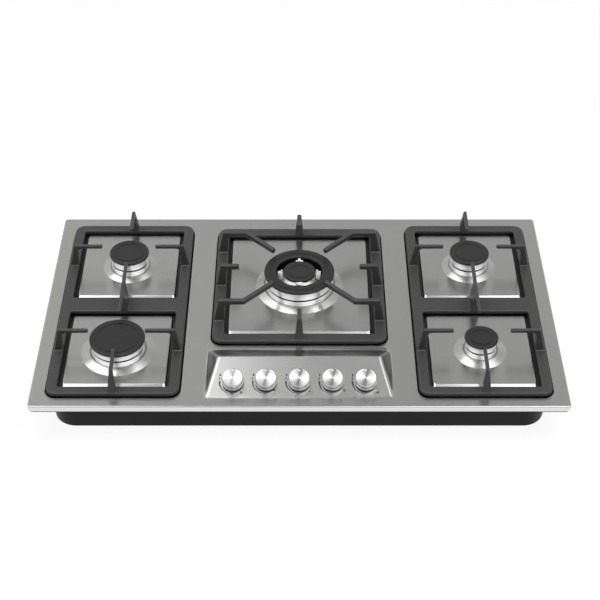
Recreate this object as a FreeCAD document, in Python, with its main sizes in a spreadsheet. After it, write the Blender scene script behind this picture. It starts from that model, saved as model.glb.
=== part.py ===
import FreeCAD, Part
import math
import os

import Sketcher
from FreeCAD import Placement, Rotation, Vector

# A built-in gas cooktop with five burners, three pan supports and a raised console with five knobs.
# X runs to the right and Y to the rear. The origin is the middle of the worktop's surface, on which
# the seal under the plate's rim lies. Heights are given from the top of the steel plate, "level 0".

SIZES = {
    # pressed steel plate
    "plate_length": 900,
    "plate_depth": 520,
    "plate_corner": 6,
    "sheet": 1,
    "rim_height": 11.7,
    "rim_flange": 16,
    "seal_thickness": 2.5,
    "seal_width": 13,
    "seal_margin": 1,
    # troughs in which the pan supports stand, with a raised back inside each
    "trough_depth": 4,
    "trough_gap": 6,
    "trough_corner": 22,
    "press_slope": 45,
    "plateau_side_gap": 6.8,
    "plateau_rear_gap": 4,
    "plateau_front_gap": 17.5,
    "plateau_corner": 12,
    # burner box under the plate
    "box_length": 824,
    "box_depth": 476,
    "box_drop": 58,
    "box_corner": 36,
    "box_edge_radius": 28,
    "box_wall": 1,
    "box_draft": 4,
    "box_flange": 9,
    "box_hole_reach": 12,
    # pan supports
    "side_support_outer": 423,
    "side_support_inner": 200.6,
    "side_support_rear": 228.6,
    "side_support_front": 236.8,
    "crossbar_rear": 14.4,
    "crossbar_front": 24.3,
    "support_bar": 17.7,
    "centre_support_half": 152,
    "centre_support_rear": 218.7,
    "centre_support_front": 104.7,
    "centre_support_bar": 20.5,
    "support_corner": 17,
    "window_corner": 9,
    "bar_top": 8,
    "bar_bottom": 0.5,
    "bar_round": 2.4,
    "finger_top": 50,
    "finger_arm": 6,
    "finger_bend": 18,
    "finger_inset": 11,
    "finger_flare": 3,
    "finger_lean": 1,
    "tip_round": 1.5,
    "tip_under_round": 2,
    "finger_top_width": 6,
    "finger_base_width": 13,
    "side_tip": 50,
    "diagonal_tip": 64.5,
    "diagonal_end": 98,
    "side_stub_tip": 108,
    "end_stub_tip": 120,
    "pad_radius": 5,
    "pad_inset": 22,
    "seat_gap": 0.3,
    # burners
    "side_burner": 311.5,
    "rear_burner": 112.7,
    "front_burner": 122,
    "centre_burner": 55,
    "rapid_cap": 47.5,
    "semi_cap": 35.8,
    "small_cap": 28.9,
    "triple_cap": 63.3,
    "rapid_collar": 63.7,
    "semi_collar": 49,
    "small_collar": 45.7,
    "triple_collar": 79,
    "rapid_height": 31.5,
    "semi_height": 34,
    "small_height": 33,
    "triple_height": 35.5,
    "collar_height": 3.5,
    "collar_lead": 2,
    "cup_top": 11.5,
    "cup_inset": 2.5,
    "cup_rim": 9,
    "cup_edge": 1.5,
    "cup_wall": 2.5,
    "cup_floor": -11,
    "cup_block": 15,
    "cup_bottom": -26,
    "boss_radius": 6.5,
    "boss_reach": 8,
    "plate_hole_gap": 0.8,
    "crown_inset": 3,
    "crown_wall": 7,
    "crown_lift": 1.2,
    "crown_step": 2,
    "crown_spigot_gap": 0.4,
    "crown_spigot_drop": 5,
    "crown_floor": 15,
    "crown_floor_wall": 2,
    "crown_tube_radius": 8,
    "crown_tube_bore": 6,
    "port_width": 2,
    "port_depth": 6,
    "port_pitch": 9,
    "cap_thickness": 4.5,
    "cap_edge": 1.5,
    "cap_spigot_drop": 2.5,
    "cap_spigot_wall": 3,
    "cap_ring_inset": 9,
    "cap_ring_width": 2.2,
    "cap_ring_height": 0.6,
    "triple_ring": 21.8,
    "inner_cap": 29,
    "bridge_width": 9,
    "bridge_height": 7,
    # console and knobs
    "console_half": 157,
    "console_front": 239.5,
    "console_rear": 121,
    "ridge_half": 138,
    "ridge_place": 163,
    "ridge_height": 25,
    "console_round": 4,
    "knob_pitch": 55.6,
    "knob_place": 210.8,
    "knob_radius": 18.5,
    "knob_face_radius": 16.5,
    "knob_top": 17,
    "knob_bottom": 4,
    "knob_wall": 2.2,
    "knob_boss_wall": 3.3,
    "knob_edge": 1,
    "knob_push": 3,
    "knob_stem": 6,
    "knob_stem_gap": 0.4,
    "pointer_radius": 1.2,
    "pointer_place": 12.5,
    "pointer_depth": 0.4,
    "knob_seal_radius": 12,
    "knob_seal_height": 1.6,
    "knob_seal_gap": 1,
    "knob_hole": 6.5,
    # taps
    "spindle_radius": 3,
    "spindle_gap": 0.05,
    "neck_gap": 0.2,
    "spindle_bottom": -27,
    "plug_radius": 5.5,
    "plug_top": -18,
    "plug_bottom": -38,
    "plug_bore_bottom": -34,
    "tap_radius": 9,
    "tap_top": -12,
    "tap_bottom": -44,
    "outlet_place": -37,
    "outlet_radius": 4.6,
    "outlet_reach": 6,
    "outlet_wall": 0.6,
    "rail_radius": 7,
    "rail_place": -33,
    "rail_overrun": 16.8,
    "spring_wall": 0.6,
    # gas pipes
    "pipe_radius": 3,
    "pipe_level": -18,
    "pipe_bend": 16,
    "twin_pitch": 15.5,
    # inlet
    "inlet_place": 375,
    "inlet_level": -38,
    "inlet_radius": 10.48,
    "inlet_thread": 14,
    "inlet_neck": 9.2,
    "inlet_reach": 24,
    # under-plate parts
    "bracket_width": 56,
    "bracket_wall": 1.5,
    "bracket_foot": 12,
    "bracket_margin": 40,
    "clamp_place": 150,
    "clamp_width": 18,
    "clamp_wall": 1.5,
    "clamp_inset": 58,
    "clamp_overhang": 24,
    "clamp_rise": 12,
    "clamp_screw_inset": 9,
    "screw_head": 3.8,
    "screw_head_height": 2.4,
    "generator_length": 78,
    "generator_depth": 44,
    "generator_height": 26,
    "post_radius": 3,
    "post_height": 5,
    "gland_radius": 8,
    "gland_place": 250,
    "electrode_radius": 2.4,
    "electrode_top": 13.5,
    "electrode_tip_radius": 1,
    "electrode_tip": 20,
    "sensor_tip": 19,
    "electrode_angle": 135,
    "sensor_angle": 45,
    "electrode_bottom": -9,
    "fit_gap": 0.2,
    "notch_gap": 1,
    "jet_bore": 2.5,
    "jet_hole": 0.5,
    "jet_head": 4,
    "jet_height": 5,
    "jet_depth": 3,
    "jet_room": 7,
    "plug_taper": 0.8,
    "rear_lane": 95,
    "cross_lane": 78,
    "rail_bend": 25,
    "inlet_inner": 40,
    "inlet_block": 24,
    "inlet_bore": 7,
    "generator_x": 150,
    "generator_y": 120,
    "gland_length": 18,
    "gland_head": 3,
    "gland_head_height": 4,
}

doc = FreeCAD.newDocument("cooktop")
sheet = doc.addObject("Spreadsheet::Sheet", "sizes")


class Size:
    """A number that carries the sheet expression it comes from, so that what uses it can be bound."""

    def __init__(self, value, text):
        self.value = float(value)
        self.text = text

    def __add__(self, other):
        other = size(other)
        return Size(self.value + other.value, f"({self.text} + {other.text})")

    def __sub__(self, other):
        other = size(other)
        return Size(self.value - other.value, f"({self.text} - {other.text})")

    def __mul__(self, other):
        other = size(other)
        return Size(self.value * other.value, f"({self.text} * {other.text})")

    def __truediv__(self, other):
        other = size(other)
        return Size(self.value / other.value, f"({self.text} / {other.text})")

    def __neg__(self):
        return Size(-self.value, f"(-{self.text})")

    def __radd__(self, other):
        return size(other) + self

    def __rsub__(self, other):
        return size(other) - self

    def __rmul__(self, other):
        return size(other) * self

    def __rtruediv__(self, other):
        return size(other) / self


def size(thing):
    """The thing itself when it is a Size, or else a Size for a plain number."""
    if isinstance(thing, Size):
        return thing
    return Size(thing, f"({float(thing):.6f})")


def root(thing):
    """Square root of a Size."""
    return Size(math.sqrt(thing.value), f"sqrt({thing.text})")


def sine(degrees):
    """Sine of a Size or number in degrees."""
    degrees = size(degrees)
    return Size(math.sin(math.radians(degrees.value)), f"sin({degrees.text})")


def cosine(degrees):
    """Cosine of a Size or number in degrees."""
    degrees = size(degrees)
    return Size(math.cos(math.radians(degrees.value)), f"cos({degrees.text})")


class Sheet:
    """The driving sizes, read by name."""

    def __getattr__(self, name):
        return Size(SIZES[name], f"sizes.{name}")


def fill_sheet():
    """Write every driving size into the spreadsheet, one row each, under its name."""
    for row, (name, value) in enumerate(SIZES.items(), start=1):
        sheet.set(f"A{row}", name)
        sheet.set(f"B{row}", str(value))
        sheet.setAlias(f"B{row}", name)
    doc.recompute()


fill_sheet()
S = Sheet()

TOP = S.seal_thickness + S.rim_height
TROUGH_FLOOR = -S.trough_depth
BOX_TOP = TROUGH_FLOOR - S.sheet
BOX_FLOOR = BOX_TOP - S.box_drop + S.box_wall

# the console's front face: a run and a rise, whose length gives the cosine and sine of its tilt
SLOPE_RUN = S.console_front - S.ridge_place
SLOPE_LENGTH = root(SLOPE_RUN * SLOPE_RUN + S.ridge_height * S.ridge_height)
SLOPE_COS = SLOPE_RUN / SLOPE_LENGTH
SLOPE_SIN = S.ridge_height / SLOPE_LENGTH
SLOPE_DEGREES = Size(
    math.degrees(math.atan2(S.ridge_height.value, SLOPE_RUN.value)),
    f"atan({S.ridge_height.text} / {SLOPE_RUN.text})",
)
KNOB_Y = -S.knob_place

# how far a cutting form runs past what it cuts
PAST = size(1)
KNOB_LEVEL = (S.console_front - S.knob_place) * S.ridge_height / SLOPE_RUN

# name, X, Y, cap radius, collar radius, top of cap
BURNERS = [
    ("rear_left", -S.side_burner, S.rear_burner, S.semi_cap, S.semi_collar, S.semi_height),
    ("front_left", -S.side_burner, -S.front_burner, S.rapid_cap, S.rapid_collar, S.rapid_height),
    ("centre", size(0), S.centre_burner, S.triple_cap, S.triple_collar, S.triple_height),
    ("rear_right", S.side_burner, S.rear_burner, S.semi_cap, S.semi_collar, S.semi_height),
    ("front_right", S.side_burner, -S.front_burner, S.small_cap, S.small_collar, S.small_height),
]

# the knobs from left to right, each with the burner it feeds
KNOBS = ["front_left", "rear_left", "centre", "rear_right", "front_right"]

NODES = {}


# ---------------------------------------------------------------- general building blocks


def bind(thing, prop, value):
    """Bind a property of an object to a Size, or to a plain number."""
    thing.setExpression(prop, size(value).text)


def place(thing, x=0, y=0, z=0):
    """Bind an object's position."""
    for axis, value in zip("xyz", (x, y, z)):
        if value is not None:
            bind(thing, f"Placement.Base.{axis}", value)


def tilt(thing, axis, degrees):
    """Turn an object about an axis through its own origin, by a bound angle."""
    thing.Placement = Placement(Vector(0, 0, 0), Rotation(axis, size(degrees).value))
    bind(thing, "Placement.Rotation.Angle", degrees)


def node(label, thing):
    """Register a finished sub-part under its label."""
    thing.Label = label
    NODES[label] = thing
    return thing


def new_body(name):
    """A PartDesign body."""
    return doc.addObject("PartDesign::Body", name)


def origin_plane(body, role):
    """One of a body's own base planes."""
    return [f for f in body.Origin.OriginFeatures if f.Role == role][0]


def body_sketch(body, role="XY_Plane", x=0, y=0, height=0):
    """A sketch in a body, offset from one of its base planes."""
    sketch = body.newObject("Sketcher::SketchObject", "sketch")
    sketch.AttachmentSupport = [(origin_plane(body, role), "")]
    sketch.MapMode = "FlatFace"
    for axis, value in zip("xyz", (x, y, height)):
        bind(sketch, f"AttachmentOffset.Base.{axis}", value)
    return sketch


def free_sketch(upright=False):
    """A sketch outside any body, flat or standing in the XZ plane."""
    sketch = doc.addObject("Sketcher::SketchObject", "sketch")
    if upright:
        sketch.Placement = Placement(Vector(0, 0, 0), Rotation(Vector(1, 0, 0), 90))
    return sketch


def pin_point(sketch, geometry, end, x, y):
    """Hold a point of the sketch at (x, y) from its origin."""
    for kind, value in (("DistanceX", x), ("DistanceY", y)):
        index = sketch.addConstraint(Sketcher.Constraint(kind, -1, 1, geometry, end, value.value))
        sketch.setExpression(f"Constraints[{index}]", value.text)


def outline(sketch, corners):
    """Closed outline through corners (x, y), or (x, y, radius) where a corner is rounded."""
    corners = [tuple(size(v) for v in c) for c in corners]
    points = [Vector(c[0].value, c[1].value, 0) for c in corners]
    radii = [c[2] if len(c) > 2 else None for c in corners]
    count = len(corners)
    starts, ends = [], []
    for i, point in enumerate(points):
        before = (points[i - 1] - point).normalize()
        after = (points[(i + 1) % count] - point).normalize()
        if radii[i] is None:
            starts.append(point)
            ends.append(point)
            continue
        half = math.acos(max(-1, min(1, before.dot(after)))) / 2
        reach = radii[i].value / math.tan(half)
        starts.append(point + before * reach)
        ends.append(point + after * reach)
    lines = [
        sketch.addGeometry(Part.LineSegment(ends[i], starts[(i + 1) % count]), False) for i in range(count)
    ]
    for i, point in enumerate(points):
        line_in, line_out = lines[i - 1], lines[i]
        if radii[i] is None:
            sketch.addConstraint(Sketcher.Constraint("Coincident", line_in, 2, line_out, 1))
            pin_point(sketch, line_out, 1, corners[i][0], corners[i][1])
            continue
        round_corner(sketch, line_in, line_out, point, starts[i], ends[i], corners[i])


def round_corner(sketch, line_in, line_out, point, start, end, corner):
    """A tangent arc between two lines of an outline, whose lines meet at a held point."""
    bisector = ((start - point) + (end - point)).normalize()
    half_turn = (start - point).getAngle(end - point) / 2
    distance = (start - point).Length / math.cos(half_turn)
    centre = point + bisector * distance
    middle = centre - bisector * corner[2].value
    arc = sketch.addGeometry(Part.Arc(start, middle, end), False)
    first, last = (1, 2)
    if sketch.getPoint(arc, 1).distanceToPoint(start) > sketch.getPoint(arc, 1).distanceToPoint(end):
        first, last = (2, 1)
    sketch.addConstraint(Sketcher.Constraint("Tangent", line_in, 2, arc, first))
    sketch.addConstraint(Sketcher.Constraint("Tangent", arc, last, line_out, 1))
    index = sketch.addConstraint(Sketcher.Constraint("Radius", arc, corner[2].value))
    sketch.setExpression(f"Constraints[{index}]", corner[2].text)
    vertex = sketch.addGeometry(Part.Point(point), True)
    pin_point(sketch, vertex, 1, corner[0], corner[1])
    sketch.addConstraint(Sketcher.Constraint("PointOnObject", vertex, 1, line_in))
    sketch.addConstraint(Sketcher.Constraint("PointOnObject", vertex, 1, line_out))


def circle(sketch, x, y, radius):
    """A circle in a sketch."""
    x, y, radius = size(x), size(y), size(radius)
    shape = Part.Circle(Vector(x.value, y.value, 0), Vector(0, 0, 1), radius.value)
    index = sketch.addGeometry(shape, False)
    pin_point(sketch, index, 3, x, y)
    held = sketch.addConstraint(Sketcher.Constraint("Radius", index, radius.value))
    sketch.setExpression(f"Constraints[{held}]", radius.text)


def rectangle(x0, x1, y0, y1, radius=None):
    """Corners of a rectangle, anticlockwise, rounded when a radius is given."""
    corners = [(x0, y0), (x1, y0), (x1, y1), (x0, y1)]
    if radius is None:
        return corners
    return [(x, y, radius) for x, y in corners]


def pad(body, sketch, length, down=False, taper=None):
    """Add material from a sketch; a positive taper widens it on the way."""
    feature = body.newObject("PartDesign::Pad", "pad")
    feature.Profile = sketch
    bind(feature, "Length", length)
    feature.Reversed = down
    if taper is not None:
        bind(feature, "TaperAngle", taper)
    return feature


def pocket(body, sketch, length=None, up=False, taper=None):
    """Remove material from a sketch downwards, right through when no length is given."""
    feature = body.newObject("PartDesign::Pocket", "pocket")
    feature.Profile = sketch
    if length is None:
        feature.Type = "ThroughAll"
        feature.Midplane = True
    else:
        bind(feature, "Length", length)
    feature.Reversed = up
    if taper is not None:
        bind(feature, "TaperAngle", taper)
    return feature


def block(body, corners, base, length, down=False, taper=None):
    """Pad a flat outline that starts at the given height."""
    sketch = body_sketch(body, height=base)
    outline(sketch, corners)
    return pad(body, sketch, length, down, taper)


def recess(body, corners, base, length, taper=None):
    """Pocket a flat outline downwards from the given height."""
    sketch = body_sketch(body, height=base)
    outline(sketch, corners)
    return pocket(body, sketch, length, taper=taper)


def revolve(body, corners, x=0, y=0):
    """Revolve a profile of (distance from axis, height) about the vertical through (x, y)."""
    sketch = body_sketch(body, "XZ_Plane", x=x, height=-size(y))
    outline(sketch, corners)
    feature = body.newObject("PartDesign::Revolution", "revolution")
    feature.Profile = sketch
    feature.ReferenceAxis = (sketch, ["V_Axis"])
    return feature


def round_edges(body, feature, radius, wanted):
    """Fillet the edges of a body's last feature that a test picks."""
    doc.recompute()
    edges = [f"Edge{i}" for i, e in enumerate(feature.Shape.Edges, start=1) if wanted(e)]
    fillet = body.newObject("PartDesign::Fillet", "fillet")
    fillet.Base = (feature, edges)
    bind(fillet, "Radius", radius)
    return fillet


def at_height(z):
    """A test for edges that lie wholly at one height."""
    level = size(z).value
    return lambda e: abs(e.BoundBox.ZMin - level) < 0.01 and abs(e.BoundBox.ZMax - level) < 0.01


def cylinder(name, radius, height, x=0, y=0, z=0):
    """An upright cylinder."""
    shape = doc.addObject("Part::Cylinder", name)
    bind(shape, "Radius", radius)
    bind(shape, "Height", height)
    place(shape, x, y, z)
    return shape


def box(name, x0, x1, y0, y1, z0, z1):
    """A plain box between six bounds."""
    shape = doc.addObject("Part::Box", name)
    bind(shape, "Length", x1 - x0)
    bind(shape, "Width", y1 - y0)
    bind(shape, "Height", z1 - z0)
    place(shape, x0, y0, z0)
    return shape


def fuse(name, parts):
    """One solid from several."""
    shape = doc.addObject("Part::MultiFuse", name)
    shape.Shapes = parts
    shape.Refine = True
    return shape


def cut(name, base, tool):
    """One solid less another."""
    shape = doc.addObject("Part::Cut", name)
    shape.Base = base
    shape.Tool = tool
    return shape


def group(name, parts):
    """Several separate solids as one sub-part."""
    shape = doc.addObject("Part::Compound", name)
    shape.Links = parts
    return shape


# ---------------------------------------------------------------- plate, seal and box


def cup_radius(cap):
    """Outer radius of a burner cup's rim."""
    return cap - S.cup_inset


def barrel_radius(cap):
    """Radius of the part of a burner cup that passes through the plate."""
    return cup_radius(cap) - S.cup_rim


def electrode_places(cap):
    """Places of a burner's ignition electrode and flame sensor, from its axis."""
    reach = cup_radius(cap) - S.cup_rim / 2
    angles = (("electrode", S.electrode_angle), ("sensor", S.sensor_angle))
    return [(kind, reach * cosine(degrees), reach * sine(degrees)) for kind, degrees in angles]


def side_frame(sign):
    """Bounds of a side support: X low, X high, Y low, Y high."""
    inner, outer = sign * S.side_support_inner, sign * S.side_support_outer
    low, high = (inner, outer) if sign > 0 else (outer, inner)
    return low, high, -S.side_support_front, S.side_support_rear


def side_windows(sign):
    """Bounds of a side support's two windows, rear first."""
    low, high, front, rear = side_frame(sign)
    bar = S.support_bar
    return [
        (low + bar, high - bar, S.crossbar_rear, rear - bar),
        (low + bar, high - bar, front + bar, -S.crossbar_front),
    ]


def centre_frame():
    """Bounds of the centre support."""
    half = S.centre_support_half
    return -half, half, -S.centre_support_front, S.centre_support_rear


def centre_window():
    """Bounds of the centre support's window."""
    low, high, front, rear = centre_frame()
    bar = S.centre_support_bar
    return low + bar, high - bar, front + bar, rear - bar


def frames_with_windows():
    """Each support's bounds with its windows."""
    return [
        (side_frame(-1), side_windows(-1)),
        (centre_frame(), [centre_window()]),
        (side_frame(1), side_windows(1)),
    ]


def trough_outline(frame):
    """Corners of the trough that surrounds a support."""
    low, high, front, rear = frame
    gap = S.trough_gap
    return rectangle(low - gap, high + gap, front - gap, rear + gap, S.trough_corner)


def plateau_outline(window):
    """Corners of the raised back that fills a support's window."""
    low, high, front, rear = window
    side = S.plateau_side_gap
    return rectangle(
        low + side, high - side, front + S.plateau_front_gap, rear - S.plateau_rear_gap, S.plateau_corner
    )


def press_troughs(body):
    """Press the support troughs into the plate and leave the raised backs standing."""
    for frame, _ in frames_with_windows():
        block(body, trough_outline(frame), -S.sheet, S.trough_depth, down=True, taper=-S.press_slope)
    for frame, _ in frames_with_windows():
        recess(body, trough_outline(frame), 0, S.trough_depth, taper=-S.press_slope)
    for _, windows in frames_with_windows():
        for window in windows:
            corners = plateau_outline(window)
            block(body, corners, 0, S.trough_depth + S.sheet / 2, down=True, taper=S.press_slope)
            recess(body, corners, -S.sheet, S.trough_depth + S.sheet, taper=S.press_slope)


def raise_collars(body):
    """Cut the burner holes and raise a sloped collar round each."""
    sketch = body_sketch(body, height=0)
    for _, x, y, _, collar, _ in BURNERS:
        circle(sketch, x, y, collar)
    pocket(body, sketch)
    for _, x, y, cap, collar, _ in BURNERS:
        hole = barrel_radius(cap) + S.plate_hole_gap
        lead = cup_radius(cap) + S.collar_lead
        rise = S.collar_height
        profile = [
            (hole, rise - S.sheet),
            (lead, rise - S.sheet),
            (collar, -S.sheet),
            (collar, size(0)),
            (lead, rise),
            (hole, rise),
        ]
        revolve(body, profile, x, y)


def console_wedge(body, kind, drop):
    """The console's form as a wedge, lowered by a drop."""
    wedge = body.newObject(kind, "console")
    wedge.AttachmentSupport = [(origin_plane(body, "XZ_Plane"), "")]
    wedge.MapMode = "FlatFace"
    bind(wedge, "AttachmentOffset.Base.y", -size(drop))
    bounds = {
        "Xmin": -S.console_half,
        "Xmax": S.console_half,
        "X2min": -S.ridge_half,
        "X2max": S.ridge_half,
        "Ymin": size(0),
        "Ymax": S.ridge_height,
        "Zmin": S.console_rear,
        "Zmax": S.console_front,
        "Z2min": S.ridge_place,
        "Z2max": S.ridge_place,
    }
    for prop, value in bounds.items():
        bind(wedge, prop, value)
    return wedge


def raise_console(body):
    """Raise the console from the plate, hollow underneath, with rounded ridges and spindle holes."""
    outer = console_wedge(body, "PartDesign::AdditiveWedge", 0)
    ridge = S.ridge_height.value

    def climbs(edge):
        return edge.BoundBox.ZMax > ridge - 0.01

    rounded = round_edges(body, outer, S.console_round, climbs)
    body.Tip = rounded
    console_wedge(body, "PartDesign::SubtractiveWedge", S.sheet)
    for index in range(len(KNOBS)):
        hole = body.newObject("PartDesign::SubtractiveCylinder", "spindle_hole")
        hole.AttachmentSupport = [(origin_plane(body, "XY_Plane"), "")]
        hole.MapMode = "FlatFace"
        hole.AttachmentOffset = Placement(Vector(0, 0, 0), Rotation(Vector(1, 0, 0), SLOPE_DEGREES.value))
        bind(hole, "AttachmentOffset.Rotation.Angle", SLOPE_DEGREES)
        bind(hole, "AttachmentOffset.Base.x", knob_x(index))
        bind(hole, "AttachmentOffset.Base.y", KNOB_Y + S.sheet * 3 * SLOPE_SIN)
        bind(hole, "AttachmentOffset.Base.z", KNOB_LEVEL - S.sheet * 3 * SLOPE_COS)
        bind(hole, "Radius", S.knob_hole)
        bind(hole, "Height", S.sheet * 6)


def knob_x(index):
    """Place of a knob along the console."""
    return S.knob_pitch * (index - (len(KNOBS) - 1) / 2)


def electrode_spots():
    """Places of the ignition electrode and the flame sensor beside each burner."""
    return [
        (kind, name, x + along, y + across)
        for name, x, y, cap, _, _ in BURNERS
        for kind, along, across in electrode_places(cap)
    ]


def plate_outline(inset):
    """The plate's outline, moved inwards."""
    half_x, half_y = S.plate_length / 2 - inset, S.plate_depth / 2 - inset
    return rectangle(-half_x, half_x, -half_y, half_y, S.plate_corner)


def ring(body, outer, inner, base, height, down=False):
    """Pad a flat ring between two outlines."""
    sketch = body_sketch(body, height=base)
    outline(sketch, outer)
    outline(sketch, inner)
    return pad(body, sketch, height, down)


def make_plate():
    """The pressed plate: rim turned down and in, troughs, collars, console and holes."""
    body = new_body("hob_plate")
    block(body, plate_outline(0), 0, S.sheet, down=True)
    ring(body, plate_outline(0), plate_outline(S.sheet), 0, S.rim_height, down=True)
    ring(body, plate_outline(0), plate_outline(S.rim_flange), -S.rim_height + S.sheet, S.sheet, down=True)
    press_troughs(body)
    raise_collars(body)
    raise_console(body)
    sketch = body_sketch(body, height=0)
    for _, _, x, y in electrode_spots():
        circle(sketch, x, y, S.electrode_radius + S.plate_hole_gap)
    pocket(body, sketch)
    place(body, z=TOP)
    return node("hob_plate", body)


def make_seal():
    """Foam strip between the plate's rim and the worktop."""
    body = new_body("worktop_seal")
    inset = S.rim_flange - S.seal_width - S.seal_margin
    ring(body, plate_outline(inset), plate_outline(inset + S.seal_width), 0, S.seal_thickness)
    return node("worktop_seal", body)


def box_outline(inset, radius):
    """The box's outline at its top, moved inwards by an inset."""
    half_x, half_y = S.box_length / 2 - inset, S.box_depth / 2 - inset
    return rectangle(-half_x, half_x, -half_y, half_y, radius)


def drawn_form(name, inset):
    """The box's drawn form as a solid with a rounded bottom edge, moved inwards by an inset."""
    body = new_body(name)
    drop = S.box_drop - inset
    corners = box_outline(inset, S.box_corner - inset)
    solid = block(body, corners, BOX_TOP, drop, down=True, taper=-S.box_draft)
    body.Tip = round_edges(body, solid, S.box_edge_radius - inset, at_height(BOX_TOP - drop))
    return body


def make_box():
    """Deep-drawn box that hangs under the plate, open at the top, with a flange."""
    outer = drawn_form("box_outer", size(0))
    wide = box_outline(-S.box_flange, S.box_corner + S.box_flange)
    block(outer, wide, BOX_TOP, S.box_wall, down=True)
    inner = drawn_form("box_inner", S.box_wall)
    holes = []
    for name, x, radius in (
        ("inlet_hole", S.inlet_place, S.inlet_radius + S.plate_hole_gap),
        ("gland_hole", S.gland_place, S.gland_radius),
    ):
        hole = cylinder(name, radius, S.box_hole_reach * 2)
        tilt(hole, Vector(1, 0, 0), -90)
        place(hole, x, S.box_depth / 2 - S.box_hole_reach, S.inlet_level)
        holes.append(hole)
    shell = cut("burner_box", outer, fuse("box_space", [inner] + holes))
    place(shell, z=TOP)
    return node("burner_box", shell)


# ---------------------------------------------------------------- burners


def make_cup(name, x, y, cap):
    """Cast cup: a rim on the plate's collar, a bowl through the plate and a gas block below."""
    body = new_body(f"burner_cup_{name}")
    rim, barrel = cup_radius(cap), barrel_radius(cap)
    inner = barrel - S.cup_wall
    floor = S.cup_floor - S.cup_wall
    profile = [
        (size(0), S.cup_bottom),
        (S.cup_block, S.cup_bottom),
        (S.cup_block, floor),
        (barrel, floor),
        (barrel, S.collar_height),
        (rim, S.collar_height),
        (rim, S.cup_top, S.cup_edge),
        (inner, S.cup_top),
        (inner, S.cup_floor),
        (size(0), S.cup_floor),
    ]
    revolve(body, profile)
    for turn, shift in gas_entries(name):
        add_boss(body, cap, turn, shift)
    sketch = body_sketch(body, height=0)
    for _, shift in gas_entries(name):
        circle(sketch, shift, 0, S.jet_bore)
    pocket(body, sketch, size(0) - S.pipe_level)
    sketch = body_sketch(body, height=S.cup_top + PAST)
    for _, along, across in electrode_places(cap):
        circle(sketch, along, across, S.electrode_radius + S.fit_gap)
    pocket(body, sketch, S.cup_top - S.collar_height + PAST * 2)
    place(body, x, y, TOP)
    return node(f"burner_cup_{name}", body)


def gas_entries(name):
    """Directions in degrees, with sideways shifts, from which gas pipes enter a burner cup."""
    if name == "centre":
        return [(270, -S.twin_pitch / 2), (270, S.twin_pitch / 2)]
    return [(0, size(0))] if "left" in name else [(180, size(0))]


def boss_end(cap):
    """Distance from a burner's axis to the face that a gas pipe meets."""
    return barrel_radius(cap) + S.boss_reach


def add_boss(body, cap, turn, shift):
    """A bored boss from the gas block to the pipe, along one horizontal direction."""
    for kind, radius in (("Additive", S.boss_radius), ("Subtractive", S.pipe_radius)):
        bar = body.newObject(f"PartDesign::{kind}Cylinder", "boss")
        bar.AttachmentSupport = [(origin_plane(body, "XY_Plane"), "")]
        bar.MapMode = "FlatFace"
        aim = Rotation(Vector(0, 0, 1), turn) * Rotation(Vector(0, 1, 0), 90)
        bar.AttachmentOffset = Placement(Vector(0, 0, 0), aim)
        bind(bar, "AttachmentOffset.Base.x", shift)
        bind(bar, "AttachmentOffset.Base.z", S.pipe_level)
        bind(bar, "Radius", radius)
        bind(bar, "Height", boss_end(cap))


def port_count(radius):
    """Number of flame ports round a crown of a given radius."""
    return 4 * max(3, round(2 * math.pi * radius.value / S.port_pitch.value / 4))


def make_spreader(name, x, y, cap, height):
    """Cast crown with flame ports in its upper edge, standing in its cup."""
    body = new_body(f"flame_spreader_{name}")
    outer = cap - S.crown_inset
    top = height - S.cap_thickness
    spigot = barrel_radius(cap) - S.cup_wall - S.crown_spigot_gap
    seat = S.cup_top + S.seat_gap
    profile = [
        (S.crown_tube_bore, S.cup_floor + S.jet_room),
        (S.crown_tube_radius, S.cup_floor + S.jet_room),
        (S.crown_tube_radius, S.crown_floor - S.crown_floor_wall),
        (spigot - S.crown_floor_wall, S.crown_floor - S.crown_floor_wall),
        (spigot - S.crown_floor_wall, seat - S.crown_spigot_drop),
        (spigot, seat - S.crown_spigot_drop),
        (spigot, seat),
        (outer - S.crown_step, seat),
        (outer - S.crown_step, S.cup_top + S.crown_lift),
        (outer, S.cup_top + S.crown_lift),
        (outer, top),
        (outer - S.crown_wall, top),
        (outer - S.crown_wall, S.crown_floor),
        (S.crown_tube_bore, S.crown_floor),
    ]
    revolve(body, profile)
    cut_ports(body, outer, top)
    cut_notches(body, cap)
    place(body, x, y, TOP)
    return node(f"flame_spreader_{name}", body)


def cut_ports(body, outer, top):
    """Radial flame ports through a crown's wall, open at the top."""
    sketch = body_sketch(body, "XY_Plane", height=top)
    half = S.port_width / 2
    outline(sketch, rectangle(outer - S.crown_wall - PAST, outer + PAST, -half, half))
    port = pocket(body, sketch, S.port_depth)
    pattern = body.newObject("PartDesign::PolarPattern", "ports")
    pattern.Originals = [port]
    pattern.Axis = (origin_axis(body, "Z_Axis"), [""])
    pattern.Angle = 360
    pattern.Occurrences = port_count(outer)
    body.Tip = pattern


def origin_axis(body, role):
    """One of a body's own base axes."""
    return [f for f in body.Origin.OriginFeatures if f.Role == role][0]


def cut_notches(body, cap):
    """Clearance for the electrode and the flame sensor in a crown's outer edge."""
    sketch = body_sketch(body, height=0)
    for _, along, across in electrode_places(cap):
        circle(sketch, along, across, S.electrode_radius + S.notch_gap)
    pocket(body, sketch)


def ring_opening(cap):
    """Radius of the opening in the triple-ring burner's outer cap."""
    return cap - S.triple_ring


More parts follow.
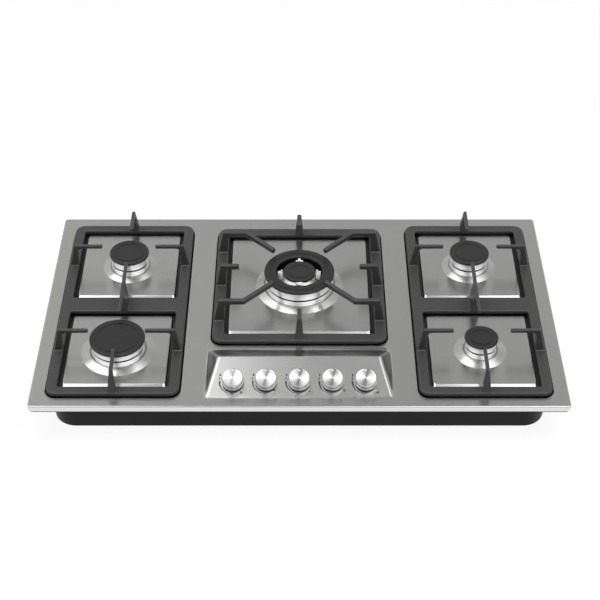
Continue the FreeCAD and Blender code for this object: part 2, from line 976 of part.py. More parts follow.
def make_triple_spreader(name, x, y, cap, height):
    """Crown of the triple-ring burner: an outer ported ring and an inner crown, tied by bridges."""
    body = new_body(f"flame_spreader_{name}")
    outer = cap - S.crown_inset
    top = height - S.cap_thickness
    spigot = barrel_radius(cap) - S.cup_wall - S.crown_spigot_gap
    seat = S.cup_top + S.seat_gap
    inner_side = ring_opening(cap) + S.crown_inset
    ring_profile = [
        (inner_side, S.crown_floor - S.crown_floor_wall),
        (spigot - S.crown_floor_wall, S.crown_floor - S.crown_floor_wall),
        (spigot - S.crown_floor_wall, seat - S.crown_spigot_drop),
        (spigot, seat - S.crown_spigot_drop),
        (spigot, seat),
        (outer - S.crown_step, seat),
        (outer - S.crown_step, S.cup_top + S.crown_lift),
        (outer, S.cup_top + S.crown_lift),
        (outer, top),
        (outer - S.crown_wall, top),
        (outer - S.crown_wall, S.crown_floor),
        (inner_side + S.crown_floor_wall, S.crown_floor),
        (inner_side + S.crown_floor_wall, top),
        (inner_side, top),
    ]
    revolve(body, ring_profile)
    cut_ports(body, outer, top)
    half = S.bridge_width / 2
    reach = inner_side + S.crown_floor_wall / 2
    base = S.crown_floor - S.crown_floor_wall
    block(body, rectangle(-reach, reach, -half, half), base, S.bridge_height)
    block(body, rectangle(-half, half, -reach, reach), base, S.bridge_height)
    core = S.inner_cap - S.crown_inset
    core_profile = [
        (size(0), base),
        (core - S.crown_step, base),
        (core, base + S.crown_step),
        (core, top),
        (core - S.crown_wall, top),
        (core - S.crown_wall, S.crown_floor),
        (size(0), S.crown_floor),
    ]
    revolve(body, core_profile)
    sketch = body_sketch(body, height=0)
    for shift in (-S.twin_pitch / 2, S.twin_pitch / 2):
        circle(sketch, shift, 0, S.crown_tube_bore / 2)
    pocket(body, sketch, up=True, length=S.crown_floor + PAST)
    cut_notches(body, cap)
    place(body, x, y, TOP)
    return node(f"flame_spreader_{name}", body)


def make_cap(name, x, y, cap, height, bore=None):
    """Enamelled lid with a fine raised ring, a rounded edge and a locating spigot underneath."""
    body = new_body(f"burner_cap_{name}")
    under = height - S.cap_thickness + S.seat_gap
    inner_wall = cap - S.crown_inset - S.crown_wall - S.crown_spigot_gap
    ring_out = cap - S.cap_ring_inset
    ring_in = ring_out - S.cap_ring_width
    start = size(0) if bore is None else bore
    profile = [
        (start, under),
        (inner_wall - S.cap_spigot_wall, under),
        (inner_wall - S.cap_spigot_wall, under - S.cap_spigot_drop),
        (inner_wall, under - S.cap_spigot_drop),
        (inner_wall, under),
        (cap, under),
        (cap, height, S.cap_edge),
        (ring_out, height),
        (ring_out, height + S.cap_ring_height),
        (ring_in, height + S.cap_ring_height),
        (ring_in, height),
    ]
    if bore is None:
        profile.append((start, height))
    else:
        profile.append((start, height, S.cap_edge))
    revolve(body, profile)
    place(body, x, y, TOP)
    return node(f"burner_cap_{name}", body)


def make_burners():
    """The five burners, each a cup, a crown and its cap or caps."""
    for name, x, y, cap, _, height in BURNERS:
        make_cup(name, x, y, cap)
        if name == "centre":
            make_triple_spreader(name, x, y, cap, height)
            make_cap(name, x, y, cap, height, ring_opening(cap))
            make_cap("centre_inner", x, y, S.inner_cap, height)
        else:
            make_spreader(name, x, y, cap, height)
            make_cap(name, x, y, cap, height)


# ---------------------------------------------------------------- pan supports


def blade(name, profile, x, y, degrees):
    """An upright blade with a side profile, thicker at its foot, pointing away from (x, y)."""
    side = free_sketch(upright=True)
    outline(side, profile)
    slab = doc.addObject("Part::Extrusion", f"{name}_slab")
    slab.Base = side
    slab.DirMode = "Normal"
    bind(slab, "LengthFwd", S.finger_base_width + PAST * 2)
    slab.Symmetric = True
    slab.Solid = True
    wedge = doc.addObject("Part::Wedge", f"{name}_wedge")
    wedge.Placement = Placement(Vector(0, 0, 0), Rotation(Vector(1, 0, 0), 90))
    low, high = S.finger_top_width / 2, S.finger_base_width / 2
    reach = S.plate_depth
    bounds = {
        "Xmin": size(0), "Xmax": reach, "X2min": size(0), "X2max": reach,
        "Ymin": S.bar_bottom, "Ymax": S.finger_top,
        "Zmin": -high, "Zmax": high, "Z2min": -low, "Z2max": low,
    }
    for prop, value in bounds.items():
        bind(wedge, prop, value)
    shape = doc.addObject("Part::Common", name)
    shape.Base = slab
    shape.Tool = wedge
    shape.Placement = Placement(Vector(0, 0, 0), Rotation(Vector(0, 0, 1), degrees))
    place(shape, x, y, 0)
    return shape


def finger_profile(tip, bar_in, bar_out):
    """Side view of a finger: a level arm whose web sweeps down to the bar."""
    under = S.finger_top - S.finger_arm
    foot = (S.bar_top + S.bar_bottom) / 2
    return [
        (tip, under, S.tip_under_round),
        (bar_in - S.finger_lean, under, S.finger_bend),
        (bar_in + S.finger_lean, foot),
        (bar_out - S.finger_flare, foot),
        (bar_out - S.finger_inset, S.finger_top, S.tip_under_round),
        (tip, S.finger_top, S.tip_round),
    ]


def frame_body(name, bounds, windows):
    """A support's flat frame of bars."""
    body = new_body(name)
    sketch = body_sketch(body, height=S.bar_bottom)
    outline(sketch, rectangle(*bounds, S.support_corner))
    for window in windows:
        outline(sketch, rectangle(*window, S.window_corner))
    bars = pad(body, sketch, S.bar_top - S.bar_bottom)
    body.Tip = round_edges(body, bars, S.bar_round, at_height(S.bar_top))
    return body


def side_fingers(label, sign):
    """The fingers of a side support: three towards each burner and a double one on the crossbar."""
    low, high, front, rear = side_frame(sign)
    bar = S.support_bar
    x = sign * S.side_burner
    fingers = []
    for y, outer_y, turn in ((S.rear_burner, rear, 90), (-S.front_burner, front, 270)):
        reach = outer_y - y if turn == 90 else y - outer_y
        for degrees, out in ((0, high - x), (180, x - low), (turn, reach)):
            profile = finger_profile(S.side_tip, out - bar, out)
            fingers.append(blade(f"{label}_finger", profile, x, y, degrees))
    fingers.append(crossbar_finger(label, x))
    return fingers


def crossbar_finger(label, x):
    """The crossbar's long finger with a tip over each burner, on a foot as wide as the crossbar."""
    start = -S.front_burner + S.side_tip
    end = S.rear_burner - S.side_tip
    under = S.finger_top - S.finger_arm
    foot = (S.bar_top + S.bar_bottom) / 2
    origin = -S.front_burner
    front_foot = -S.crossbar_front - origin
    rear_foot = S.crossbar_rear - origin
    profile = [
        (start - origin, under, S.tip_under_round),
        (front_foot, under, S.finger_bend),
        (front_foot, foot),
        (rear_foot, foot),
        (rear_foot, under, S.finger_bend),
        (end - origin, under, S.tip_under_round),
        (end - origin, S.finger_top, S.tip_round),
        (start - origin, S.finger_top, S.tip_round),
    ]
    return blade(f"{label}_crossfinger", profile, x, origin, 90)


def feet(label, bounds, bar):
    """Rubber feet between a support's front and rear bars and the trough floor."""
    low, high, front, rear = bounds
    height = S.bar_bottom + S.trough_depth - S.seat_gap
    parts = []
    for x in (low + S.pad_inset, high - S.pad_inset):
        for y in (front + bar / 2, rear - bar / 2):
            foot = cylinder(f"{label}_foot", S.pad_radius, height, x, y, TOP - S.trough_depth + S.seat_gap)
            parts.append(foot)
    return node(f"support_feet_{label}", group(f"support_feet_{label}", parts))


def make_side_support(label, sign):
    """A side support with its frame, crossbar and fingers in one casting, and its feet."""
    frame = frame_body(f"{label}_frame", side_frame(sign), side_windows(sign))
    support = fuse(f"pan_support_{label}", [frame] + side_fingers(label, sign))
    place(support, z=TOP)
    node(f"pan_support_{label}", support)
    feet(label, side_frame(sign), S.support_bar)
    return support


def centre_arm(label, sign_x, sign_y):
    """A bent arm of the centre support: a diagonal blade, then one that runs out to the side bar."""
    y0 = S.centre_burner
    under = S.finger_top - S.finger_arm
    diagonal = [
        (S.diagonal_tip, under, S.tip_under_round),
        (S.diagonal_end * root(size(2)), under),
        (S.diagonal_end * root(size(2)), S.finger_top),
        (S.diagonal_tip, S.finger_top, S.tip_round),
    ]
    degrees = math.degrees(math.atan2(sign_y, sign_x))
    first = blade(f"{label}_diagonal", diagonal, 0, y0, degrees)
    outward = [
        (S.diagonal_end - S.finger_top_width / 2, under),
        (S.centre_support_half - S.centre_support_bar, under, S.finger_bend),
        (S.centre_support_half - S.centre_support_bar + S.finger_lean, (S.bar_top + S.bar_bottom) / 2),
        (S.centre_support_half - S.finger_flare, (S.bar_top + S.bar_bottom) / 2),
        (S.centre_support_half - S.finger_inset, S.finger_top, S.tip_under_round),
        (S.diagonal_end - S.finger_top_width / 2, S.finger_top),
    ]
    turn = 0 if sign_x > 0 else 180
    second = blade(f"{label}_arm", outward, 0, y0 + sign_y * S.diagonal_end, turn)
    return [first, second]


def make_centre_support():
    """The centre support with four bent arms and four short fingers."""
    label = "centre"
    bounds = centre_frame()
    frame = frame_body("centre_frame", bounds, [centre_window()])
    low, high, front, rear = bounds
    y0, bar = S.centre_burner, S.centre_support_bar
    parts = [frame]
    for sign_x in (-1, 1):
        for sign_y in (-1, 1):
            parts += centre_arm(label, sign_x, sign_y)
        side = finger_profile(S.side_stub_tip, high - bar, high)
        parts.append(blade(f"{label}_stub", side, 0, y0, 0 if sign_x > 0 else 180))
    parts.append(blade(f"{label}_stub", finger_profile(S.end_stub_tip, rear - y0 - bar, rear - y0), 0, y0, 90))
    parts.append(blade(f"{label}_stub", finger_profile(S.end_stub_tip, y0 - front - bar, y0 - front), 0, y0, 270))
    support = fuse("pan_support_centre", parts)
    place(support, z=TOP)
    node("pan_support_centre", support)
    feet(label, bounds, bar)
    return support


# ---------------------------------------------------------------- knobs, taps and gas pipes


def on_slope(thing, x, lift=0):
    """Stand an object on the console's face at a knob's place, its Z along the knob's axis."""
    tilt(thing, Vector(1, 0, 0), SLOPE_DEGREES)
    place(thing, x, KNOB_Y - lift * SLOPE_SIN, TOP + KNOB_LEVEL + lift * SLOPE_COS)


def spin(name, profile):
    """A body of revolution about its own Z axis."""
    body = new_body(name)
    revolve(body, profile)
    return body


def make_knob(index):
    """A turned knob: tapered skirt, flat face, hollow underneath with a stem that clears the seal."""
    label = KNOBS[index]
    body = new_body(f"knob_{label}")
    stem_bottom = S.knob_seal_height + S.knob_push + S.knob_stem_gap
    profile = [
        (S.spindle_radius, stem_bottom),
        (S.knob_stem, stem_bottom),
        (S.knob_stem, S.knob_top - S.knob_wall),
        (S.knob_face_radius - S.knob_wall, S.knob_top - S.knob_wall),
        (S.knob_radius - S.knob_wall, S.knob_bottom),
        (S.knob_radius, S.knob_bottom),
        (S.knob_face_radius, S.knob_top, S.knob_edge),
        (size(0), S.knob_top),
        (size(0), S.knob_top - S.knob_boss_wall),
        (S.spindle_radius, S.knob_top - S.knob_boss_wall),
    ]
    revolve(body, profile)
    sketch = body_sketch(body, height=S.knob_top)
    circle(sketch, 0, S.pointer_place, S.pointer_radius)
    pocket(body, sketch, S.pointer_depth)
    on_slope(body, knob_x(index))
    return node(f"knob_{label}", body)


def make_spindle(index):
    """The rod that carries a knob and slides in the tap's plug."""
    label = KNOBS[index]
    rod = spin(f"spindle_{label}", [
        (size(0), S.spindle_bottom),
        (S.spindle_radius, S.spindle_bottom),
        (S.spindle_radius, S.knob_top - S.knob_boss_wall),
        (size(0), S.knob_top - S.knob_boss_wall),
    ])
    on_slope(rod, knob_x(index))
    return node(f"spindle_{label}", rod)


def make_plug(index):
    """The tap's turning plug, bored for the spindle and its spring."""
    label = KNOBS[index]
    bore = S.spindle_radius + S.spindle_gap
    body = spin(f"tap_plug_{label}", [
        (size(0), S.plug_bottom),
        (S.plug_radius - S.plug_taper, S.plug_bottom),
        (S.plug_radius, S.plug_top),
        (bore, S.plug_top),
        (bore, S.plug_bore_bottom),
        (size(0), S.plug_bore_bottom),
    ])
    on_slope(body, knob_x(index))
    return node(f"tap_plug_{label}", body)


def make_spring(index):
    """The spring in the plug that pushes the spindle out, as the sleeve its turns fill."""
    label = KNOBS[index]
    outer = S.spindle_radius - S.fit_gap
    body = spin(f"tap_spring_{label}", [
        (outer - S.spring_wall, S.plug_bore_bottom),
        (outer, S.plug_bore_bottom),
        (outer, S.spindle_bottom),
        (outer - S.spring_wall, S.spindle_bottom),
    ])
    on_slope(body, knob_x(index))
    return node(f"tap_spring_{label}", body)


def outlet_spots(index):
    """Sideways places of a tap's outlets; the tap of the triple-ring burner has two."""
    if KNOBS[index] == "centre":
        return [-S.twin_pitch / 2, S.twin_pitch / 2]
    return [size(0)]


def make_tap_body(index):
    """A tap's brass body: bored for the plug, with a neck, an inlet side and outlets."""
    body = new_body(f"tap_body_{index}")
    gap = S.spindle_gap
    profile = [
        (size(0), S.tap_bottom),
        (S.tap_radius, S.tap_bottom),
        (S.tap_radius, S.tap_top),
        (S.spindle_radius + S.neck_gap, S.tap_top),
        (S.spindle_radius + S.neck_gap, S.plug_top + S.neck_gap),
        (S.plug_radius + gap, S.plug_top + S.neck_gap),
        (S.plug_radius + gap, S.plug_top),
        (S.plug_radius - S.plug_taper + gap, S.plug_bottom),
        (S.plug_radius - S.plug_taper + gap, S.plug_bottom - S.neck_gap),
        (size(0), S.plug_bottom - S.neck_gap),
    ]
    revolve(body, profile)
    for shift in outlet_spots(index):
        add_stub(body, shift)
    on_slope(body, knob_x(index))
    return body


def add_stub(body, shift):
    """An outlet stub on the tap's rear side."""
    start = S.plug_radius + S.spindle_gap + S.outlet_wall
    stub = body.newObject("PartDesign::AdditiveCylinder", "outlet")
    stub.AttachmentSupport = [(origin_plane(body, "XY_Plane"), "")]
    stub.MapMode = "FlatFace"
    stub.AttachmentOffset = Placement(Vector(0, 0, 0), Rotation(Vector(1, 0, 0), -90))
    bind(stub, "AttachmentOffset.Base.x", shift)
    bind(stub, "AttachmentOffset.Base.y", start)
    bind(stub, "AttachmentOffset.Base.z", S.outlet_place)
    bind(stub, "Radius", S.outlet_radius)
    bind(stub, "Height", S.tap_radius + S.outlet_reach - start)


def make_knob_seal(index):
    """The ring round a spindle on the console's face."""
    seal = spin(f"knob_seal_{index}", [
        (S.spindle_radius + S.knob_seal_gap, size(0)),
        (S.knob_seal_radius, size(0)),
        (S.knob_seal_radius, S.knob_seal_height),
        (S.spindle_radius + S.knob_seal_gap, S.knob_seal_height),
    ])
    on_slope(seal, knob_x(index))
    return seal


def slope_point(x, outward, along):
    """A point given in a tap's own frame: how far out along its axis and how far up the slope."""
    y = KNOB_Y - outward * SLOPE_SIN + along * SLOPE_COS
    z = TOP + KNOB_LEVEL + outward * SLOPE_COS + along * SLOPE_SIN
    return x, y, z


def tube(name, points, bends, radius):
    """A pipe's outer form along straight runs joined by tangent arcs."""
    points = [Vector(*[size(v).value for v in p]) for p in points]
    edges, start = [], points[0]
    for i in range(1, len(points) - 1):
        before = (points[i - 1] - points[i]).normalize()
        after = (points[i + 1] - points[i]).normalize()
        half = before.getAngle(after) / 2
        bend = bends[i - 1]
        reach = bend / math.tan(half)
        first, last = points[i] + before * reach, points[i] + after * reach
        bisector = (before + after).normalize()
        middle = points[i] + bisector * (bend / math.sin(half) - bend)
        edges += [Part.LineSegment(start, first).toShape(), Part.Arc(first, middle, last).toShape()]
        start = last
    edges.append(Part.LineSegment(start, points[-1]).toShape())
    wire = Part.Wire(edges)
    direction = (points[1] - points[0]).normalize()
    face = Part.Face(Part.Wire([Part.Circle(points[0], direction, radius).toShape()]))
    feature = doc.addObject("Part::Feature", name)
    feature.Shape = wire.makePipe(face)
    return feature


def make_feed_pipes():
    """The gas pipes from the taps' outlets to the burner cups."""
    pipes = []
    level = TOP + S.pipe_level
    radius = S.pipe_radius.value
    bend = S.pipe_bend.value
    for index, name in enumerate(KNOBS):
        _, x, y, cap, _, _ = [b for b in BURNERS if b[0] == name][0]
        for shift in outlet_spots(index):
            tap_x = knob_x(index) + shift
            start = slope_point(tap_x, S.outlet_place, S.tap_radius + S.outlet_reach)
            climb = (level - start[2]) / SLOPE_SIN
            turn = (tap_x, start[1] + climb * SLOPE_COS, level)
            if name == "centre":
                route = [start, turn, (tap_x, y - boss_end(cap), level)]
                bends = [bend]
            elif name.startswith("front"):
                side = 1 if "left" in name else -1
                route = [start, turn, (tap_x, y, level), (x + side * boss_end(cap), y, level)]
                bends = [bend, bend]
            else:
                side = 1 if "left" in name else -1
                lane = x + side * S.rear_lane
                route = [
                    start, turn, (tap_x, -S.cross_lane, level), (lane, -S.cross_lane, level),
                    (lane, y, level), (x + side * boss_end(cap), y, level),
                ]
                bends = [bend] * 4
            pipes.append(tube(f"pipe_{name}", route, bends, radius))
    return node("feed_pipes", group("feed_pipes", pipes))


def make_rail():
    """The gas rail in front of the taps, bent round to the inlet at the rear right."""
    start = slope_point(knob_x(0) - S.rail_overrun, S.rail_place, -(S.tap_radius + S.rail_radius))
    y, z = start[1], start[2]
    corner = S.inlet_place
    route = [start, (corner, y, z), (corner, S.box_depth / 2 - S.inlet_inner, z)]
    rail = tube("manifold_rail", route, [S.rail_bend.value], S.rail_radius.value)
    return node("manifold_rail", rail)


def make_inlet():
    """The inlet fitting: a block on the rail's end and a threaded spigot through the rear wall."""
    start = slope_point(0, S.rail_place, -(S.tap_radius + S.rail_radius))
    z = start[2]
    y0 = S.box_depth / 2 - S.inlet_inner
    half = S.inlet_block / 2
    centre_z = TOP + S.inlet_level
    block_part = box("inlet_block", S.inlet_place - half, S.inlet_place + half, y0, y0 + S.inlet_block,
                     centre_z - half, z + half)
    neck_length = S.inlet_inner + S.inlet_reach - S.inlet_block - S.inlet_thread
    neck = cylinder("inlet_neck", S.inlet_neck, neck_length)
    tilt(neck, Vector(1, 0, 0), -90)
    place(neck, S.inlet_place, y0 + S.inlet_block, centre_z)
    thread = cylinder("inlet_thread", S.inlet_radius, S.inlet_thread)
    tilt(thread, Vector(1, 0, 0), -90)
    place(thread, S.inlet_place, y0 + S.inlet_block + neck_length, centre_z)
    hole = cylinder("inlet_hole", S.inlet_bore, S.inlet_inner + S.inlet_reach)
    tilt(hole, Vector(1, 0, 0), -90)
    place(hole, S.inlet_place, y0 + S.inlet_block / 2, centre_z)
    elbow = cut("inlet_elbow", fuse("inlet_solid", [block_part, neck, thread]), hole)
    return node("inlet_elbow", elbow)


def make_taps():
    """Knobs, seals, spindles, plugs, springs and tap bodies."""
    bodies, seals = [], []
    for index in range(len(KNOBS)):
        make_knob(index)
        make_spindle(index)
        make_plug(index)
        make_spring(index)
        bodies.append(make_tap_body(index))
        seals.append(make_knob_seal(index))
    node("tap_bodies", group("tap_bodies", bodies))
    node("knob_seals", group("knob_seals", seals))


# ---------------------------------------------------------------- parts under the plate


def make_brackets():
    """Three hat-section rails on the box floor, whose tops carry the burner cups."""
    floor = BOX_FLOOR
    top = S.cup_bottom
    half, foot, wall = S.bracket_width / 2, S.bracket_foot, S.bracket_wall
    rails = []
    for x, low, high in (
        (-S.side_burner, -S.front_burner, S.rear_burner),
        (size(0), S.centre_burner, S.centre_burner),
        (S.side_burner, -S.front_burner, S.rear_burner),
    ):
        body = new_body("bracket")
        sketch = body_sketch(body, "XZ_Plane", x=x, height=-(high + S.bracket_margin))
        outline(sketch, [
            (-half - foot, floor), (-half + wall, floor), (-half + wall, top - wall), (half - wall, top - wall),
            (half - wall, floor), (half + foot, floor), (half + foot, floor + wall), (half, floor + wall),
            (half, top), (-half, top), (-half, floor + wall), (-half - foot, floor + wall),
        ])
        pad(body, sketch, high - low + S.bracket_margin * 2)
        place(body, z=TOP)
        rails.append(body)
    return node("burner_rails", group("burner_rails", rails))


def make_jets():
    """Brass jets in the cups' gas blocks."""
    jets = []
    for name, x, y, _, _, _ in BURNERS:
        for _, shift in gas_entries(name):
            jet = spin(f"jet_{name}", [
                (S.jet_hole, S.cup_floor - S.jet_depth),
                (S.jet_bore, S.cup_floor - S.jet_depth),
                (S.jet_bore, S.cup_floor),
                (S.jet_head, S.cup_floor),
                (S.jet_head, S.cup_floor + S.jet_height),
                (S.jet_hole, S.cup_floor + S.jet_height),
            ])
            place(jet, x + shift, y, TOP)
            jets.append(jet)
    return node("injectors", group("injectors", jets))


def make_electrodes():
    """Ignition electrodes and flame sensors, each a sleeve with a metal tip, beside the crowns."""
    groups = {"electrode": [], "sensor": []}
    for kind, name, x, y in electrode_spots():
        tip = S.electrode_tip if kind == "electrode" else S.sensor_tip
        rod = spin(f"{kind}_{name}", [
            (size(0), S.electrode_bottom),
            (S.electrode_radius, S.electrode_bottom),
            (S.electrode_radius, S.electrode_top),
            (S.electrode_tip_radius, S.electrode_top),
            (S.electrode_tip_radius, tip),
            (size(0), tip),
        ])
        place(rod, x, y, TOP)
        groups[kind].append(rod)
    node("ignition_electrodes", group("ignition_electrodes", groups["electrode"]))
    node("thermocouples", group("thermocouples", groups["sensor"]))


def make_generator():
    """The spark generator on the box floor."""
    floor = TOP + BOX_FLOOR
    x0, y0 = S.generator_x, S.generator_y
    case = box("generator_case", x0, x0 + S.generator_length, y0, y0 + S.generator_depth,
               floor, floor + S.generator_height)
    posts = []
    for index in range(len(BURNERS)):
        post_x = x0 + S.generator_length * (index + 0.5) / len(BURNERS)
        post = cylinder("generator_post", S.post_radius, S.post_height, post_x,
                        y0 + S.generator_depth / 2, floor + S.generator_height)
        posts.append(post)
    return node("spark_generator", fuse("spark_generator", [case] + posts))


def make_gland():
    """The cable gland in the box's rear wall."""
    outer = cylinder("gland_outer", S.gland_radius, S.gland_length)
    head = cylinder("gland_head", S.gland_radius + S.gland_head, S.gland_head_height)
    hole = cylinder("gland_hole", S.gland_radius / 2, S.gland_length)
    gland = cut("gland_solid", fuse("gland_blank", [outer, head]), hole)
    tilt(gland, Vector(1, 0, 0), 90)
    place(gland, S.gland_place, S.box_depth / 2 + S.gland_head_height, TOP + S.inlet_level)
    return node("cable_gland", gland)


def clamp_corners():
    """The clamps' places: side sign and Y."""
    return [(side, y) for side in (-1, 1) for y in (-S.clamp_place, S.clamp_place)]


def make_clamps():
    """Sprung strips under the box's ends that grip the worktop, with their screws."""
    under = BOX_FLOOR - S.box_wall
    clamps, screws = [], []
    for side, y in clamp_corners():
        body = new_body("clamp")
        sketch = body_sketch(body, "XZ_Plane", height=-(y + S.clamp_width / 2))
        inner = S.box_length / 2 - S.clamp_inset
        outer = S.box_length / 2 + S.clamp_overhang
        wall = S.clamp_wall
        corners = [
            (side * inner, under - wall), (side * outer, under - wall), (side * outer, under + S.clamp_rise),
            (side * (outer - wall), under + S.clamp_rise), (side * (outer - wall), under), (side * inner, under),
        ]
        outline(sketch, corners)
        pad(body, sketch, S.clamp_width)
        place(body, z=TOP)
        clamps.append(body)
        screws.append(make_screw("clamp_screw", side * (inner + S.clamp_screw_inset), y, TOP + under - wall))
    node("worktop_clamps", group("worktop_clamps", clamps))
    node("clamp_screws", group("clamp_screws", screws))


def make_screw(name, x, y, z):
    """The head of a screw whose shank is driven into the sheet above it."""
    return cylinder(name, S.screw_head, S.screw_head_height, x, y, z - S.screw_head_height)


def check_all():
    """Stop when any object failed or any sub-part has no sound shape."""
    doc.recompute()
    for thing in doc.Objects:
        if "Invalid" in thing.State or "Error" in thing.State:
            raise RuntimeError(f"{thing.Name} failed: {thing.State}")
    for label, thing in NODES.items():
        if thing.Shape.isNull() or not thing.Shape.isValid():
            raise RuntimeError(f"{label} has no sound shape")


def write_parts():
    """Write each sub-part to its own file."""
    os.makedirs("parts", exist_ok=True)
    for label, thing in NODES.items():
        thing.Shape.exportStep(f"parts/{label}.step")
        print(label, len(thing.Shape.Solids), round(thing.Shape.Volume, 1))


def main():
    """Build every sub-part, check them all and write them."""
    make_plate()
    make_seal()
    make_box()
    make_burners()
    make_side_support("left", -1)
    make_side_support("right", 1)
    make_centre_support()
    make_taps()
    make_feed_pipes()
    make_rail()
    make_inlet()
    make_brackets()
    make_jets()
    make_electrodes()
    make_generator()
    make_gland()
    make_clamps()
    check_all()
    write_parts()


main()
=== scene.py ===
import math

import bmesh
import bpy
import numpy as np
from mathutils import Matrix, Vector
from mathutils.geometry import tessellate_polygon


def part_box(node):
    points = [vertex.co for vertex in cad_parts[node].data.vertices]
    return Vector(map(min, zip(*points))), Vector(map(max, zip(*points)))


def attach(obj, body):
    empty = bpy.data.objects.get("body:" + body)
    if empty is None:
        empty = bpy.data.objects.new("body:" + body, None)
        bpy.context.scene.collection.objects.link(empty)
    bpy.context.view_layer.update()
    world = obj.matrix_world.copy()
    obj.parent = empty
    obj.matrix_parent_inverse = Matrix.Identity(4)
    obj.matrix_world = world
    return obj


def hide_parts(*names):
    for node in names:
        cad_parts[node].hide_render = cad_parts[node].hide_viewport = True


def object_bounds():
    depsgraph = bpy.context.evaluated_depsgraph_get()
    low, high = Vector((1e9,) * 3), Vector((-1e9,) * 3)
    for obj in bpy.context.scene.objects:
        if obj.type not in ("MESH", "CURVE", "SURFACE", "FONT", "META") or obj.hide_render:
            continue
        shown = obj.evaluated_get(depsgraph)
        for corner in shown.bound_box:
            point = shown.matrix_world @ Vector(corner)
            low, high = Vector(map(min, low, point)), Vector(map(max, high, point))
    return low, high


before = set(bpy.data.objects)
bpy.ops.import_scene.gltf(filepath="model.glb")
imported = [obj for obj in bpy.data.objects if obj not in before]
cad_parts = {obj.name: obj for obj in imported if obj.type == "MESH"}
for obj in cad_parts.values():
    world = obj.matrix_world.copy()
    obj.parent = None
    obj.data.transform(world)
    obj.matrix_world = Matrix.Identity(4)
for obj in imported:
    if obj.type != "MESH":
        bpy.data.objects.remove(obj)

# A built-in gas cooktop: a pressed stainless plate with five burners, three cast pan supports and a
# raised console with five spun knobs. Lengths are in millimetres until a mesh is made. Heights of the
# plate and of what stands on it are given from the plate's top, "level 0".

CAD_LOW, CAD_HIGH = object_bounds()
MM = 0.001
UP = (0, 0, 1)
MIRROR = np.array([-1.0, 1.0])

# ---------------------------------------------------------------- sizes

PLATE_TOP = 14.2
SHEET = 1.0
PLATE_CORNER = 6.0
RIM_DROP = 11.7
RIM_FLANGE = 15.6
RIM_BEND = 1.8
RIM_FOOT_BEND = 1.4
FLAT_MARGIN = 1.5

# troughs round the supports, and the plateaus inside them, whose front edges slope
TROUGH_DEPTH = 4.0
TROUGH_GAP = 2.2
TROUGH_CORNER = 19.2
PLATEAU_SIDE_GAP = 6.8
PLATEAU_REAR_GAP = 4.0
PLATEAU_FRONT_GAP = 14.5
PLATEAU_CORNER = 5.0
PRESS_BEND = 2.0
STEEP_RUN = 0.9
STEEP_BEND = 1.2
FRONT_RUN = 7.8
FRONT_BEND = 3.0
PRESS_REACH = 13.0

# depths under level 0 past which the plate's steel gets painted shade, on floors and on walls, or a painted
# highlight on its edge
SHADE_FLOOR_DEPTH = 2.6
SHADE_WALL_DEPTH = 0.9
HIGHLIGHT_EDGE_DEPTH = 1.6
EDGE_WIDTH = 3.0

SUPPORT_CORNER = 17.0
WINDOW_CORNER = 4.0
SIDE_BAR = 17.7
CENTRE_BAR = 20.5
CROSSBAR_REAR = 14.4
CROSSBAR_FRONT = 24.3
BAR_TOP = 8.0
BAR_BOTTOM = 0.5
BAR_ROUND = 1.3
BAR_FOOT_ROUND = 0.8
BAR_SHOULDER = 1.8
CASTING_VOXEL = 1.2

# fingers; tips are distances from a burner's axis
FINGER_TOP = 50.0
SIDE_ARM = 7.0
CENTRE_ARM = 9.5
FINGER_BEND = 8.0
FINGER_INSET = 11.0
FINGER_FLARE = 1.2
SIDE_TOP_WIDTH = 6.2
CENTRE_TOP_WIDTH = 7.8
FINGER_BASE_WIDTH = 15.5
FINGER_ROUND = 1.2
TIP_ROUND = 2.2
HEAD_ROUND = 2.5
FOOT_ROUND = 1.5
WEB_LEAN = 1.0
SIDE_TIP = 48.4
DIAGONAL_TIP = 64.5
DIAGONAL_END = 98.0
SIDE_STUB_TIP = 108.0
END_STUB_TIP = 120.0

COLLAR_RISE = 3.5
COLLAR_LEAD = 2.0
COLLAR_TILT = 20.0
COLLAR_CREST = 1.8
COLLAR_FLARE = 4.5
COLLAR_FOOT_BEND = 4.0
CUP_INSET = 2.5
CUP_RIM = 9.0
HOLE_GAP = 0.8

# crowns; insets are from the cap's radius
CROWN_SEAT = 11.8
CROWN_LOW = 15.3
CROWN_INSET = 2.8
CROWN_SKIN = 1.3
CROWN_NECK = 9.8
CROWN_DECK = 1.1
CROWN_FLOOR = 15.0
CROWN_WALL = 2.0
CROWN_CHAMFER = 0.3
SKIN_FOOT = 2.0
SPIGOT_INSET = 14.4
SPIGOT_LOW = 6.8
SEAT_GAP = 0.25
SEAT_DEPTH = 2.5
SEAT_STEP = 1.45
TUBE_BORE = 6.0
TUBE_RADIUS = 8.0
CAP_THICKNESS = 4.5
PORT_PITCH = 9.0
PORT_TOP = 0.5
PORT_HEIGHT = 1.9
PORT_DEPTH = 0.9
PORT_EDGE = 0.05
PORT_SINE = 0.35
# soft edge of the painted shade inside crowns and cups, and its inset from a crown's outside
SHADE_EDGE = 0.2
SHADE_INSET = 1.0
CUP_SKIN = 1.4

# inner crown of the triple ring: its bridges' half width, and each lug's stem and crosspiece as radius
# from, radius to and half width
INNER_CAP = 29.0
INNER_RIM = 26.5
INNER_SKIRT = 33.0
INNER_BORE = 19.5
INNER_BRIGHT = 38.5
RING_OPENING = 41.5
RING_INSIDE = 44.5
BRIDGE_HALF = 4.5
BRIDGE_HEIGHT = 5.0
LUG_PARTS = ((INNER_CAP + 3, RING_OPENING - 1, 2.4), (INNER_CAP + 1.2, INNER_CAP + 4.4, 6.8))
LUG_LOW = CROWN_FLOOR + 4
LUG_TOP = 34.2

BOX_CORNER = 40.0
BOX_EDGE = 3.5
BOX_DRAFT = 1.5
BOX_FLANGE = 3.0
BOX_SHOULDER = 1.5
BOX_SIDE_INSET = 4.5
BOX_FRONT_INSET = 3.0

